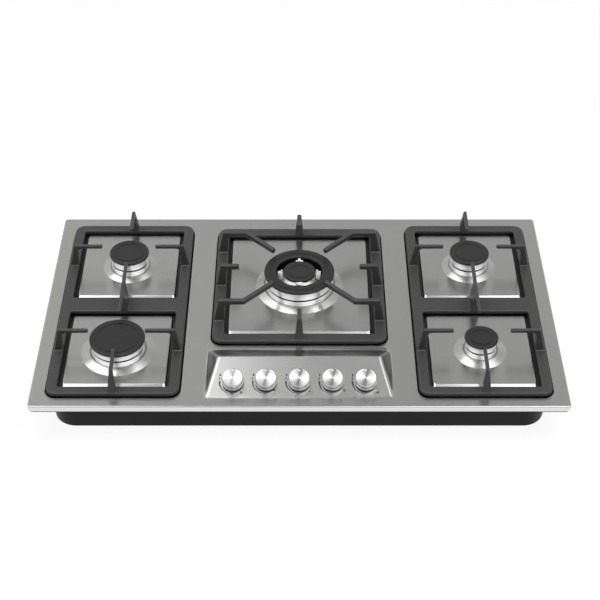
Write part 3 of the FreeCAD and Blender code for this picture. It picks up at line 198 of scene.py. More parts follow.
# console; its planes blend over widths at the ridges, at the side ridges, and at each plane's foot
CONSOLE_HALF = 157.0
CONSOLE_FRONT = -239.5
CONSOLE_REAR = -121.0
CONSOLE_MARGIN = 5.0
RIDGE_HALF = 138.0
RIDGE_PLACE = -163.0
RIDGE_HEIGHT = 25.0
RIDGE_BLEND = 2.2
SIDE_RIDGE_BLEND = 5.5
FOOT_BLENDS = (1.0, 1.6, 3.2)
FOOT_NEAR = 3.0

KNOB_PITCH = 55.6
KNOB_PLACE = -210.8
KNOB_RADIUS = 18.5
KNOB_FACE = 17.1
KNOB_TOP = 17.0
KNOB_BOTTOM = 4.0
KNOB_WALL = 2.2
STEM_BOTTOM = 5.0
STEM_RADIUS = 6.0
STEM_BORE = 3.2
SKIRT_HEIGHT = 2.2
SKIRT_STEP = 0.7
FACE_ROLL = 0.7
FACE_SHOULDER = 1.6
DISH_EDGE = 0.15
DISH_DEPTH = 0.35
POINTER_PLACE = 12.9
POINTER_RADIUS = 1.3
POINTER_DEPTH = 0.5

# marks round a knob, from its axis: the band's radius, angles and widths; flames and dots as X, Y, size
BAND = (22.2, 174, 250, 2.8, 0.9)
FLAMES = ((-22.8, 5.0, 4.2), (-21.8, 11.2, 5.6))
OFF_DOT = (0.0, -21.4, 1.0)
SQUARE_PLACE = (17.2, -17.4)
SQUARE_HALF = 4.8
SQUARE_LINE = 0.3
SPOT_STEP = (2.4, 1.8)
SPOT_RADIUS = 1.7
INK_THICKNESS = 0.05
INK_GAP = 0.02

# each knob and the side of its burner: 1 is right or back, -1 left or front
KNOBS = {"front_left": (-1, -1), "rear_left": (-1, 1), "centre": (0, 0), "rear_right": (1, 1),
         "front_right": (1, -1)}
# each burner: X, Y, cap radius, collar radius, height of the cap's top
BURNERS = {
    "rear_left": (-311.5, 112.7, 35.8, 49.0, 34.0),
    "front_left": (-311.5, -122.0, 47.5, 63.7, 31.5),
    "rear_right": (311.5, 112.7, 35.8, 49.0, 34.0),
    "front_right": (311.5, -122.0, 28.9, 45.7, 33.0),
    "centre": (0.0, 55.0, 63.3, 79.0, 35.5),
}

SLOPE_RUN = RIDGE_PLACE - CONSOLE_FRONT
SLOPE_TILT = math.atan2(RIDGE_HEIGHT, SLOPE_RUN)
KNOB_LEVEL = (KNOB_PLACE - CONSOLE_FRONT) * RIDGE_HEIGHT / SLOPE_RUN

# lamps: place, target, width and depth in metres
LAMPS = {
    "softbox_left": ((-0.83, 0.15, 1.5), (-0.3, 0.05, 0), 1.14, 1.05),
    "softbox_right": ((0.94, -0.14, 1.5), (0.3, -0.1, 0), 1.14, 1.3),
}
LAMP_RADIANCE = 4.2
SKY_FILL = 0.34

# far softboxes that metal mirrors: turn in degrees, and slopes of a direction at which their light starts
# and is full: beside the gap between them, at their outer sides, at the rear and at the front
SOFTBOX_LEVEL = 3.7
GAP_TURN = 14.0
GAP_SIDE = (0.10, 0.13)
OUTER_SIDE = (1.2, 0.9)
REAR_SIDE = (0.5, 0.35)
FRONT_SIDE = (-1.0, -0.8)

FLOOR_REACH = 12000.0
FLOOR_GAP = 0.5
LENS = 87.45
CAMERA_PLACE = (0.0012, -1.9995, 1.6850)
CAMERA_TILT = 50.34


# ---------------------------------------------------------------- shapes


def frame_of(node, gap=0.0):
    """Bounds of a pan support in plan, drawn in on every side: X low, X high, Y low, Y high."""
    low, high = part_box(node)
    return inset((low.x / MM, high.x / MM, low.y / MM, high.y / MM), gap, gap, gap)


def inset(bounds, side, front, rear):
    """Bounds in plan drawn in by a distance at both sides, at the front and at the rear."""
    low_x, high_x, low_y, high_y = bounds
    return low_x + side, high_x - side, low_y + front, high_y - rear


def rounded(corners, steps=6, closed=False):
    """Points along an open or closed line through corners (x, y) or, with a tangent arc, (x, y, radius)."""
    places = [np.array(corner[:2], float) for corner in corners]
    points = []
    for i, corner in enumerate(corners):
        at_end = not closed and i in (0, len(corners) - 1)
        if at_end or len(corner) < 3:
            points.append(places[i])
            continue
        after = places[(i + 1) % len(corners)]
        points.extend(arc_at(places[i - 1], places[i], after, corner[2], steps))
    return np.array(points)


def arc_at(before, here, after, radius, steps):
    """Tangent arc at a corner: its centre lies on the bisector, radius / sin(half angle) from the corner."""
    start = (before - here) / np.linalg.norm(before - here)
    end = (after - here) / np.linalg.norm(after - here)
    half = math.acos(np.clip(start @ end, -1, 1)) / 2
    bisector = (start + end) / np.linalg.norm(start + end)
    centre = here + bisector * radius / math.sin(half)
    first = here + start * radius / math.tan(half) - centre
    last = here + end * radius / math.tan(half) - centre
    turn = math.atan2(first[0] * last[1] - first[1] * last[0], first @ last)
    angles = np.linspace(0, turn, steps)
    spun = np.stack([first[0] * np.cos(angles) - first[1] * np.sin(angles),
                     first[0] * np.sin(angles) + first[1] * np.cos(angles)], axis=-1)
    return list(centre + spun)


def rectangle_path(low_x, high_x, low_y, high_y, radius, steps=12):
    """Rounded rectangle as points and outward directions: each arc is centre + radius x direction."""
    points, outward = [], []
    for x, y, start in ((high_x - radius, low_y + radius, -90), (high_x - radius, high_y - radius, 0),
                        (low_x + radius, high_y - radius, 90), (low_x + radius, low_y + radius, 180)):
        angles = np.radians(np.linspace(start, start + 90, steps))
        direction = np.stack([np.cos(angles), np.sin(angles)], axis=-1)
        points.append(np.array([x, y]) + direction * radius)
        outward.append(direction)
    return np.concatenate(points), np.concatenate(outward)


def circle_path(x, y, radius, steps=128):
    """Circle as points and their outward directions."""
    angles = np.linspace(0, 2 * np.pi, steps, endpoint=False)
    direction = np.stack([np.cos(angles), np.sin(angles)], axis=-1)
    return np.array([x, y]) + direction * radius, direction


def offset_path(path, distance):
    """The path's points moved along their outward directions."""
    return path[0] + path[1] * distance


def quads(points, close_rows=False, close_columns=False):
    """A surface over a grid of points: each quad joins neighbours in both directions."""
    rows, columns = points.shape[:2]
    index = np.arange(rows * columns).reshape(rows, columns)
    if close_rows:
        index = np.vstack([index, index[:1]])
    if close_columns:
        index = np.hstack([index, index[:, :1]])
    faces = np.stack([index[:-1, :-1], index[1:, :-1], index[1:, 1:], index[:-1, 1:]], axis=-1)
    return points.reshape(-1, 3), faces.reshape(-1, 4)


def level_surface(x, y, level=0.0, close_rows=False):
    """A level surface over grids of X and Y."""
    return quads(np.stack(np.broadcast_arrays(x, y, level), axis=-1), close_rows)


def carried(path, profile, level=0.0):
    """A profile of (offset, height) carried round a closed path: point = path + outward x offset, at the
    height over a level. The profile is one section, or one for each point of the path."""
    sections = np.broadcast_to(profile, (len(path[0]),) + profile.shape[-2:])
    flat = path[0][:, None, :] + path[1][:, None, :] * sections[..., :1]
    return quads(np.concatenate([flat, sections[..., 1:] + level], axis=-1), close_rows=True)


def facing(path, side, front):
    """A section for each point of a path: the front one where the path faces the user, the side one
    elsewhere, mixed by the square of the outward direction's share towards the front."""
    share = np.clip(-path[1][:, 1], 0, 1)[:, None, None] ** 2
    return side + (front - side) * share


def turned(profile, x=0.0, y=0.0, steps=128, level=0.0):
    """A profile of (radius, height over a level) turned about the vertical through (x, y)."""
    return carried((np.tile([x, y], (steps, 1)), circle_path(0, 0, 1, steps)[1]), profile, level)


def triangles(loops):
    """Triangles between an outer loop of (x, y) and the holes in it, as indices of the loops' points."""
    return np.array(tessellate_polygon([[Vector((x, y, 0)) for x, y in loop] for loop in loops]))


def filled(loops, height):
    """A flat surface between an outer loop and the holes in it."""
    flat = np.concatenate(loops)
    return np.column_stack([flat, np.full(len(flat), height)]), triangles(loops)


def moved(surface, change):
    """A surface with its points put through a function."""
    return change(surface[0]), surface[1]


def on_slope(points, index):
    """Points in a knob's own frame, Z along its axis, put on the console's face at that knob's place."""
    cosine, sine = math.cos(SLOPE_TILT), math.sin(SLOPE_TILT)
    across, up, out = points.T
    return np.column_stack([
        across + KNOB_PITCH * (index - (len(KNOBS) - 1) / 2),
        KNOB_PLACE + up * cosine - out * sine,
        PLATE_TOP + KNOB_LEVEL + up * sine + out * cosine,
    ])


def new_mesh(name, surfaces):
    """One mesh from several surfaces, in metres, with its seams merged and every face outwards."""
    points, faces, start = [], [], 0
    for surface_points, surface_faces in surfaces:
        points.append(surface_points)
        faces += (surface_faces + start).tolist()
        start += len(surface_points)
    mesh = bpy.data.meshes.new(name)
    mesh.from_pydata((np.concatenate(points) * MM).tolist(), [], faces)
    work = bmesh.new()
    work.from_mesh(mesh)
    bmesh.ops.remove_doubles(work, verts=work.verts, dist=0.004 * MM)
    bmesh.ops.recalc_face_normals(work, faces=work.faces)
    work.to_mesh(mesh)
    work.free()
    return mesh


def new_object(name, data):
    """An object in the scene that holds a mesh, a lamp or a camera."""
    holder = bpy.data.objects.new(name, data)
    bpy.context.scene.collection.objects.link(holder)
    return holder


def new_piece(name, surfaces, finish, body, stands_for=None, crease=40):
    """A piece from surfaces: meshed, shaded, painted, put on its body, and standing for a CAD node."""
    piece = new_object(name, new_mesh(name, surfaces))
    shade(piece.data, crease)
    piece.data.materials.append(finish)
    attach(piece, body)
    if stands_for:
        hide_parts(stands_for)
    return piece


def shade(mesh, crease):
    """Smooth shading that breaks at edges sharper than the crease angle in degrees."""
    mesh.polygons.foreach_set("use_smooth", np.ones(len(mesh.polygons), bool))
    mesh.set_sharp_from_angle(angle=math.radians(crease))


def settle(piece, crease):
    """Turn a piece's modifiers into its mesh."""
    graph = bpy.context.evaluated_depsgraph_get()
    mesh = bpy.data.meshes.new_from_object(piece.evaluated_get(graph))
    piece.modifiers.clear()
    piece.data = mesh
    shade(mesh, crease)


def give_wall(piece, thickness, offset=-1, crease=50):
    """Give an open surface its wall, inwards of its faces, or outwards when the offset is 1."""
    wall = piece.modifiers.new("wall", "SOLIDIFY")
    wall.thickness = thickness * MM
    wall.offset = offset
    settle(piece, crease)


def faces_of(mesh):
    """Areas, normals and centres of a mesh's faces, one row for each."""
    found = []
    for name, width in (("area", 1), ("normal", 3), ("center", 3)):
        values = np.zeros(len(mesh.polygons) * width)
        mesh.polygons.foreach_get(name, values)
        found.append(values.reshape(-1, width))
    return found


def face_out(mesh, away=None):
    """Turn an open surface over when its faces point against a direction on average, or where none is given,
    at the surface's middle."""
    area, normal, centre = faces_of(mesh)
    if away is None:
        away = centre - (centre.min(axis=0) + centre.max(axis=0)) / 2
    if (normal * away * area).sum() < 0:
        mesh.flip_normals()


def finish_faces(piece, finish, chosen):
    """A further finish on the chosen faces of a piece."""
    piece.data.materials.append(finish)
    index = np.zeros(len(piece.data.polygons), dtype=np.int32)
    piece.data.polygons.foreach_get("material_index", index)
    index[chosen] = len(piece.data.materials) - 1
    piece.data.polygons.foreach_set("material_index", index)


# ---------------------------------------------------------------- finishes


def linear(hex_colour):
    """An sRGB hex colour as linear RGBA."""
    channels = np.array([int(hex_colour[i:i + 2], 16) for i in (1, 3, 5)]) / 255
    low, high = channels / 12.92, ((channels + 0.055) / 1.055) ** 2.4
    return (*np.where(channels <= 0.04045, low, high), 1.0)


def add(tree, kind, inputs=None, **settings):
    """Add a node of a kind named without its "ShaderNode". Settings are its properties. Inputs go by name or
    number: each is a value, or a link from (node, output name)."""
    new = tree.nodes.new("ShaderNode" + kind)
    for name, value in settings.items():
        setattr(new, name, value)
    for name, value in (inputs or {}).items():
        if isinstance(value, tuple) and isinstance(value[1], str):
            tree.links.new(value[0].outputs[value[1]], new.inputs[name])
        else:
            new.inputs[name].default_value = value
    return new


def new_finish(name):
    """An empty material with its node tree."""
    finish = bpy.data.materials.new(name)
    finish.use_nodes = True
    finish.node_tree.nodes.clear()
    return finish, finish.node_tree


def grained(name, colour, spread, metallic, roughness, size, grain, depth, tangent=None, **more):
    """A finish whose noise grain varies its colour, roughness and height. Its size in mm is one for all axes
    or one for each. Spread is the share by which colour varies, grain that of roughness, depth in mm. What
    is given by name goes to the shader's own inputs."""
    finish, tree = new_finish(name)
    place = add(tree, "TexCoord")
    cycles = tuple(1 / (np.ones(3) * size * MM))
    stretch = add(tree, "Mapping", {"Vector": (place, "Object"), "Scale": cycles})
    noise = add(tree, "TexNoise", {"Vector": (stretch, "Vector"), "Scale": 1.0, "Detail": 4.0,
                                             "Roughness": 0.6})
    base = np.array(linear(colour)[:3])
    dark, pale = [(*np.clip(base * (1 + change), 0, 1), 1.0) for change in (-spread, spread)]
    tone = add(tree, "Mix", {"Factor": (noise, "Fac"), "A": dark, "B": pale}, data_type="RGBA")
    gloss = add(tree, "MapRange", {"Value": (noise, "Fac"), "To Min": roughness * (1 - grain),
                                             "To Max": roughness * (1 + grain)})
    bump = add(tree, "Bump", {"Height": (noise, "Fac"), "Strength": 1.0, "Distance": depth * MM})
    inputs = {"Base Color": (tone, "Result"), "Roughness": (gloss, "Result"), "Normal": (bump, "Normal"),
              "Metallic": metallic, **more}
    if tangent is not None:
        inputs["Tangent"] = tangent(tree)
    shader = add(tree, "BsdfPrincipled", inputs)
    add(tree, "OutputMaterial", {"Surface": (shader, "BSDF")})
    return finish


def across_brushing(tree):
    """The direction in which a finish brushed along X spreads a highlight: Y."""
    return add(tree, "CombineXYZ", {"Y": 1.0}), "Vector"


def across_turning(centre, axis, depth=0.2):
    """The direction in which a turned finish spreads a highlight: away from a point deep on its axis."""
    def build(tree):
        root = Vector(centre) - Vector(axis) * depth
        place = add(tree, "TexCoord")
        away = add(tree, "VectorMath", {0: (place, "Object"), 1: root}, operation="SUBTRACT")
        turn = add(tree, "VectorTransform", {"Vector": (away, "Vector")}, vector_type="VECTOR",
                   convert_from="OBJECT", convert_to="WORLD")
        return turn, "Vector"
    return build


# Stainless steel, brushed lengthwise: a soft grey sheen with fine streaks along X. The real grit's lines
# are about 0.1 mm apart; they are drawn 0.7 mm apart so that they show.
STEEL = grained("brushed_stainless_steel", "#aaaaa9", 0.06, 1.0, 0.25, (71.4, 0.714, 0.714), 0.22, 0.004,
                across_brushing, Anisotropic=0.7)

# The same sheet in the troughs under the supports, with painted shade: darker and less glossy.
SHADED_TROUGH_STEEL = grained("trough_steel_painted_shade", "#3c3c3c", 0.10, 1.0, 0.5, (71.4, 0.714, 0.714), 0.2, 0.004)

# The plate's turned-down edge, with a painted highlight: brighter than its brushed face, streaks 1.4 mm
# apart.
EDGE_STEEL_PAINTED_HIGHLIGHT = grained("steel_edge_painted_highlight", "#dededd", 0.03, 1.0, 0.3, (71.4, 1.43, 1.43), 0.15, 0.003)

# Cast iron under matt black enamel: a dark, slightly pebbled skin, pebbles about 1.2 mm across.
CAST_IRON = grained("enamelled_cast_iron", "#2b2b2c", 0.12, 0.0, 0.45, 1.25, 0.12, 0.05, IOR=1.5)

# Pressed steel caps under satin black enamel: smoother than the supports, grain about 0.8 mm.
CAP_ENAMEL = grained("satin_cap_enamel", "#171718", 0.10, 0.0, 0.36, 0.833, 0.12, 0.015, IOR=1.42)

# Deep-drawn steel box with a black powder coat: orange peel about 2 mm across.
POWDER_COAT = grained("black_powder_coat", "#0c0c0d", 0.10, 0.0, 0.45, 2.0, 0.10, 0.02, IOR=1.27)

# Zinc-plated steel: pale, slightly blue, with spangle about 3 mm across.
ZINC = grained("zinc_plated_steel", "#b4b6b8", 0.10, 1.0, 0.38, 3.03, 0.25, 0.01)

# Drawn steel tube and rod: grey, with drawing marks about 1.7 mm apart and 17 mm long.
DRAWN_STEEL = grained("drawn_steel", "#8f9092", 0.08, 1.0, 0.32, (1.67, 16.7, 1.67), 0.2, 0.01)

# Machined brass: yellow, with turning marks about 0.5 mm apart.
BRASS = grained("machined_brass", "#b8975a", 0.08, 1.0, 0.3, (2.5, 2.5, 0.5), 0.2, 0.01)

# Aluminium tube: pale and a little dull, with marks about 1 mm apart.
TUBE_ALUMINIUM = grained("aluminium_tube", "#b9babb", 0.06, 1.0, 0.36, (3.33, 3.33, 1.11), 0.2, 0.01)

# Black moulded plastic: spark-eroded texture about 0.6 mm across.
PLASTIC = grained("moulded_black_plastic", "#222223", 0.10, 0.0, 0.5, 0.625, 0.10, 0.02, IOR=1.46)

# White glazed ceramic sleeve: glossy, with faint specks.
CERAMIC = grained("glazed_ceramic", "#e3ded4", 0.03, 0.0, 0.15, 1.11, 0.15, 0.01, IOR=1.54)

# Black silicone rubber: matt, slightly dusty.
RUBBER = grained("silicone_rubber", "#252525", 0.12, 0.0, 0.7, 1.11, 0.08, 0.03, IOR=1.42)

# Closed-cell foam strip: dark grey, cells about 0.8 mm across.
FOAM = grained("closed_cell_foam", "#3a3a3c", 0.25, 0.0, 0.85, 0.833, 0.05, 0.15, IOR=1.4)

# Screen-printed ink on the console: matt near-black.
INK = grained("screen_print_ink", "#1c1c1e", 0.06, 0.0, 0.55, 0.4, 0.10, 0.005, IOR=1.48)


def spun_finish(name, colour, roughness, centre, axis, anisotropy):
    """Spun metal: a grain of about 1 mm, and highlights that fan out from the axis as turning marks do."""
    return grained(name, colour, 0.05, 1.0, roughness, 1.11, 0.12, 0.003, across_turning(centre, axis),
                   Anisotropic=anisotropy)


def stepped(tree, level, steps):
    """A level times soft steps (source, start, end), each 0 where its source is at start and 1 at end."""
    for source, start, end in steps:
        step = add(tree, "MapRange", {"Value": source, "From Min": start, "From Max": end})
        level = add(tree, "Math", {0: level, 1: (step, "Result")}, operation="MULTIPLY"), "Value"
    return level


def burner_finish(name, x, y, low, high):
    """Machined aluminium of a crown or cup, painted near-black as shade where the radius from the
    burner's axis is between two values."""
    finish = spun_finish(name, "#f6f6f5", 0.5, Vector((x, y, 0)) * MM, UP, 1.0)
    tree = finish.node_tree
    shader = tree.nodes["Principled BSDF"]
    bright = shader.inputs["Base Color"].links[0].from_node
    place = add(tree, "TexCoord")
    flat = add(tree, "VectorMath", {0: (place, "Object"), 1: (1.0, 1.0, 0.0)}, operation="MULTIPLY")
    reach = add(tree, "VectorMath", {0: (flat, "Vector"), 1: (x * MM, y * MM, 0.0)},
                operation="DISTANCE"), "Value"
    within = stepped(tree, 1.0, [
        (reach, (low - SHADE_EDGE) * MM, (low + SHADE_EDGE) * MM),
        (reach, (high + SHADE_EDGE) * MM, (high - SHADE_EDGE) * MM),
    ])
    # painted shade: near-black instead of the aluminium's colour inside the band
    tone = add(tree, "Mix", {"Factor": within, "A": (bright, "Result"), "B": linear("#161616")},
               data_type="RGBA")
    tree.links.new(tone.outputs["Result"], shader.inputs["Base Color"])
    return finish


# ---------------------------------------------------------------- pressed plate


def windows_of(node):
    """Bounds of the openings in a pan support's frame."""
    if node == "pan_support_centre":
        return [frame_of(node, CENTRE_BAR)]
    low_x, high_x, low_y, high_y = frame_of(node, SIDE_BAR)
    return [(low_x, high_x, CROSSBAR_REAR, high_y), (low_x, high_x, low_y, -CROSSBAR_FRONT)]


def burner_in(window):
    """The burner whose centre lies in a window."""
    low_x, high_x, low_y, high_y = window
    for name, (x, y, *_) in BURNERS.items():
        if low_x < x < high_x and low_y < y < high_y:
            return name


def soft_least(a, b, width):
    """The lesser of two heights, blended over a width: min(a, b) - (width - |a - b|)^2 / 4 width."""
    near = np.maximum(width - np.abs(a - b), 0) / width
    return np.minimum(a, b) - near * near * width / 4


def console_surface():
    """The console's form as a height over a grid: the lesser of four rising planes, softly joined at its
    ridges and softly joined to the flat plate at its foot. Also gives the loop round the grid."""
    x = np.linspace(-CONSOLE_HALF - CONSOLE_MARGIN, CONSOLE_HALF + CONSOLE_MARGIN, 215)
    y = np.linspace(CONSOLE_FRONT - CONSOLE_MARGIN, CONSOLE_REAR + CONSOLE_MARGIN, 111)
    across, along = np.meshgrid(x, y, indexing="ij")
    front = (along - CONSOLE_FRONT) * RIDGE_HEIGHT / SLOPE_RUN
    rear = (CONSOLE_REAR - along) * RIDGE_HEIGHT / (CONSOLE_REAR - RIDGE_PLACE)
    side = (CONSOLE_HALF - np.abs(across)) * RIDGE_HEIGHT / (CONSOLE_HALF - RIDGE_HALF)
    raised = soft_least(soft_least(front, rear, RIDGE_BLEND), side, SIDE_RIDGE_BLEND)
    planes = np.stack([front, rear, side])
    near = np.exp(-(planes - planes.min(axis=0)) / FOOT_NEAR)
    foot = (near * np.array(FOOT_BLENDS)[:, None, None]).sum(axis=0) / near.sum(axis=0)
    height = -soft_least(-raised, np.zeros_like(raised), foot)
    points = np.stack([across, along, PLATE_TOP + height], axis=-1)
    loop = np.concatenate([points[:-1, 0], points[-1, :-1], points[:0:-1, -1], points[0, :0:-1]])
    return quads(points), loop[:, :2]


def collar_profile(cap, collar):
    """Section of the collar pressed up round a burner hole, from the flat plate in to the hole."""
    hole = cap - CUP_INSET - CUP_RIM + HOLE_GAP
    lead = cap - CUP_INSET + COLLAR_LEAD
    crest = lead + COLLAR_CREST
    return rounded([
        (collar + COLLAR_FLARE, 0.0),
        (collar, 0.0, COLLAR_FOOT_BEND),
        (crest, (collar - crest) * math.tan(math.radians(COLLAR_TILT)), 1.0),
        (lead, COLLAR_RISE, 0.6),
        (hole, COLLAR_RISE),
    ])


def press_profile(run, bend, reach):
    """Section of a pressed step down to the trough's floor, whose slope takes a run sideways and whose flat
    part ends at a reach from the step's upper line."""
    return rounded([
        (PRESS_BEND + FLAT_MARGIN, 0.0),
        (0.0, 0.0, bend),
        (-run, -TROUGH_DEPTH, bend),
        (-reach, -TROUGH_DEPTH),
    ])


def make_plate():
    """The pressed plate: flat skins joined by bends carried round each pressed outline, then given its
    sheet thickness. Its troughs get darker steel as painted shade, and its edge lighter steel as a painted
    highlight."""
    press = press_profile(STEEP_RUN, STEEP_BEND, TROUGH_DEPTH + PRESS_BEND + FLAT_MARGIN)
    steep_rise = press_profile(STEEP_RUN, STEEP_BEND, PRESS_REACH) * MIRROR
    front_rise = press_profile(FRONT_RUN, FRONT_BEND, PRESS_REACH) * MIRROR
    outer, inner = press[0, 0], press[-1, 0]
    _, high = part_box("hob_plate")
    half_x, half_y = high.x / MM, high.y / MM
    edge = rectangle_path(-half_x, half_x, -half_y, half_y, PLATE_CORNER)
    edge_profile = rounded([
        (-RIM_BEND - FLAT_MARGIN, 0.0),
        (0.0, 0.0, RIM_BEND),
        (0.0, -RIM_DROP, RIM_FOOT_BEND),
        (-RIM_FLANGE, -RIM_DROP),
    ], 8)
    console, console_loop = console_surface()
    surfaces = [carried(edge, edge_profile, PLATE_TOP), console]
    skin = [offset_path(edge, edge_profile[0, 0]), console_loop]
    for node in ("pan_support_left", "pan_support_centre", "pan_support_right"):
        trough = rectangle_path(*frame_of(node, -TROUGH_GAP), TROUGH_CORNER)
        surfaces.append(carried(trough, press, PLATE_TOP))
        skin.append(offset_path(trough, outer))
        floor = [offset_path(trough, inner)]
        for window in windows_of(node):
            field = inset(window, PLATEAU_SIDE_GAP, PLATEAU_FRONT_GAP, PLATEAU_REAR_GAP)
            plateau = rectangle_path(*field, PLATEAU_CORNER)
            surfaces.append(carried(plateau, facing(plateau, steep_rise, front_rise), PLATE_TOP))
            floor.append(offset_path(plateau, PRESS_REACH))
            x, y, cap, collar, _ = BURNERS[burner_in(window)]
            profile = collar_profile(cap, collar)
            surfaces.append(turned(profile, x, y, level=PLATE_TOP))
            hole = circle_path(x, y, profile[0, 0])[0]
            surfaces.append(filled([offset_path(plateau, -outer), hole], PLATE_TOP))
        surfaces.append(filled(floor, PLATE_TOP - TROUGH_DEPTH))
    surfaces.append(filled(skin, PLATE_TOP))
    plate = new_piece("pressed_plate", surfaces, STEEL, "hob", "hob_plate")
    face_out(plate.data, UP)
    give_wall(plate, SHEET)
    _, normal, centre = faces_of(plate.data)
    across, along, height = (centre / MM).T
    under, steep = PLATE_TOP - height, np.abs(normal[:, 2]) < 0.5
    inside = (np.abs(across) < half_x - EDGE_WIDTH) & (np.abs(along) < half_y - EDGE_WIDTH)
    # painted shade: trough floors and deep steep walls inside the edge get the darker steel
    finish_faces(plate, SHADED_TROUGH_STEEL, inside & ((under > SHADE_FLOOR_DEPTH) | (under > SHADE_WALL_DEPTH) & steep))
    # painted highlight: the turned-down edge below its bend gets the lighter steel
    finish_faces(plate, EDGE_STEEL_PAINTED_HIGHLIGHT, ~inside & (under > HIGHLIGHT_EDGE_DEPTH))


# ---------------------------------------------------------------- box and burner crowns


def make_box():
    """The drawn box under the plate: a flange, upright walls with a slight draft, and a floor, from one
    section carried round a rounded rectangle, then given its wall."""
    low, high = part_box("burner_box")
    half_x, half_y = high.x / MM - BOX_SIDE_INSET, high.y / MM - BOX_FRONT_INSET
    path = rectangle_path(-half_x, half_x, -half_y, half_y, BOX_CORNER, 16)
    section = rounded([
        (BOX_FLANGE, high.z / MM),
        (0.0, high.z / MM, BOX_SHOULDER),
        (-BOX_DRAFT, low.z / MM, BOX_EDGE),
        (-BOX_DRAFT - BOX_EDGE - FLAT_MARGIN, low.z / MM),
    ], 8)
    surfaces = [carried(path, section), filled([offset_path(path, section[-1, 0])], low.z / MM)]
    box = new_piece("drawn_box", surfaces, POWDER_COAT, "hob", "burner_box")
    face_out(box.data)
    give_wall(box, SHEET)


def lathe(section, x, y, steps):
    """A closed section turned about a burner's axis, with heights from the plate."""
    return turned(np.vstack([section, section[:1]]), x, y, steps, PLATE_TOP)


def crown_section(cap, top, within):
    """Closed section of a crown: spigot, neck, thin skin with rows of points close above and below each
    edge of its ports, deck, the cap's seat, the floor, and the points of what lies within."""
    out, neck, spigot = cap - CROWN_INSET, cap - CROWN_NECK, cap - SPIGOT_INSET
    skin, seat = out - CROWN_SKIN, neck - SEAT_GAP
    port_top = top - PORT_TOP
    ports = [(out, height + side) for height in (port_top - PORT_HEIGHT, port_top)
             for side in (-PORT_EDGE, PORT_EDGE)]
    return np.concatenate([
        rounded([
            (spigot - CROWN_WALL, SPIGOT_LOW), (spigot, SPIGOT_LOW, 0.4), (spigot, CROWN_SEAT),
            (neck, CROWN_SEAT), (neck, top - CROWN_DECK), (skin, top - CROWN_DECK), (skin, CROWN_LOW),
            (out, CROWN_LOW, 0.5), (out, CROWN_LOW + SKIN_FOOT),
        ], 4),
        ports,
        [(out, top - CROWN_CHAMFER), (out - CROWN_CHAMFER, top), (seat, top), (seat, top - SEAT_DEPTH),
         (seat - SEAT_STEP, top - SEAT_DEPTH), (seat - SEAT_STEP, CROWN_FLOOR)],
        within,
        [(spigot - CROWN_WALL, CROWN_FLOOR - CROWN_WALL)],
    ])


def with_ports(surface, radius, top, count, x, y):
    """Flame ports pressed into a crown's skin: points near the top move inwards by the port's depth where
    sin(count x angle) is high."""
    points, faces = surface
    across, along = points[:, 0] - x, points[:, 1] - y
    reach, angle = np.hypot(across, along), np.arctan2(along, across)
    below = top - (points[:, 2] - PLATE_TOP)
    on_skin = (below > PORT_TOP) & (below < PORT_TOP + PORT_HEIGHT) & (reach > radius - CROWN_CHAMFER)
    port = on_skin & (np.sin(count * angle) > PORT_SINE)
    shrink = 1 - np.where(port, PORT_DEPTH, 0) / np.maximum(reach, 1)
    return np.column_stack([x + across * shrink, y + along * shrink, points[:, 2]]), faces


def make_crown(name):
    """A burner's cast crown: its section turned round a mixing tube, or at the triple ring round an upstand
    that leaves room for the inner crown."""
    x, y, cap, _, height = BURNERS[name]
    radius, top, floor = cap - CROWN_INSET, height - CAP_THICKNESS, CROWN_FLOOR - CROWN_WALL
    count = 4 * round(2 * math.pi * radius / PORT_PITCH / 4)
    if name == "centre":
        wall = RING_INSIDE + CROWN_WALL
        within = [(wall, CROWN_FLOOR), (wall, top), (RING_INSIDE, top), (RING_INSIDE, floor)]
        inner, bright = inner_crown(x, y, top), INNER_BRIGHT
    else:
        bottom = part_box(f"flame_spreader_{name}")[0].z / MM - PLATE_TOP
        within = [(TUBE_BORE, CROWN_FLOOR), (TUBE_BORE, bottom), (TUBE_RADIUS, bottom), (TUBE_RADIUS, floor)]
        inner, bright = [], 0.0
    shell = lathe(crown_section(cap, top, within), x, y, count * 8)
    # painted shade on the crown's inner faces, out to just inside its skin
    finish = burner_finish(f"machined_crown_painted_shade_{name}", x, y, bright, radius - SHADE_INSET)
    new_piece(f"cast_crown_{name}", [with_ports(shell, radius, top, count, x, y)] + inner, finish,
              f"spreader_{name}", f"flame_spreader_{name}", 30)


def inner_crown(x, y, top):
    """Surfaces inside the triple ring: a sloping inner crown, crossed bridges and four T-shaped lugs."""
    floor = CROWN_FLOOR - CROWN_WALL
    core = rounded([
        (0.0, floor), (INNER_RIM - 2, floor), (INNER_SKIRT, CROWN_FLOOR + 3, 1.0),
        (INNER_SKIRT, CROWN_FLOOR + 7.5, 1.5), (INNER_RIM, top - 0.5, 0.6), (INNER_RIM - 0.5, top),
        (INNER_BORE, top), (INNER_BORE, CROWN_FLOOR), (0.0, CROWN_FLOOR),
    ], 5)
    surfaces = [lathe(core, x, y, 192)]
    reach = RING_INSIDE + 1
    for half_x, half_y in ((reach, BRIDGE_HALF), (BRIDGE_HALF, reach)):
        surfaces += rounded_block(x - half_x, x + half_x, y - half_y, y + half_y, floor,
                                  CROWN_FLOOR + BRIDGE_HEIGHT)
    for turn_x, turn_y in ((1, 0), (-1, 0), (0, 1), (0, -1)):
        for start, end, half in LUG_PARTS:
            low_x, high_x = sorted((start * turn_x - half * abs(turn_y), end * turn_x + half * abs(turn_y)))
            low_y, high_y = sorted((start * turn_y - half * abs(turn_x), end * turn_y + half * abs(turn_x)))
            surfaces += rounded_block(x + low_x, x + high_x, y + low_y, y + high_y, LUG_LOW, LUG_TOP)
    return surfaces


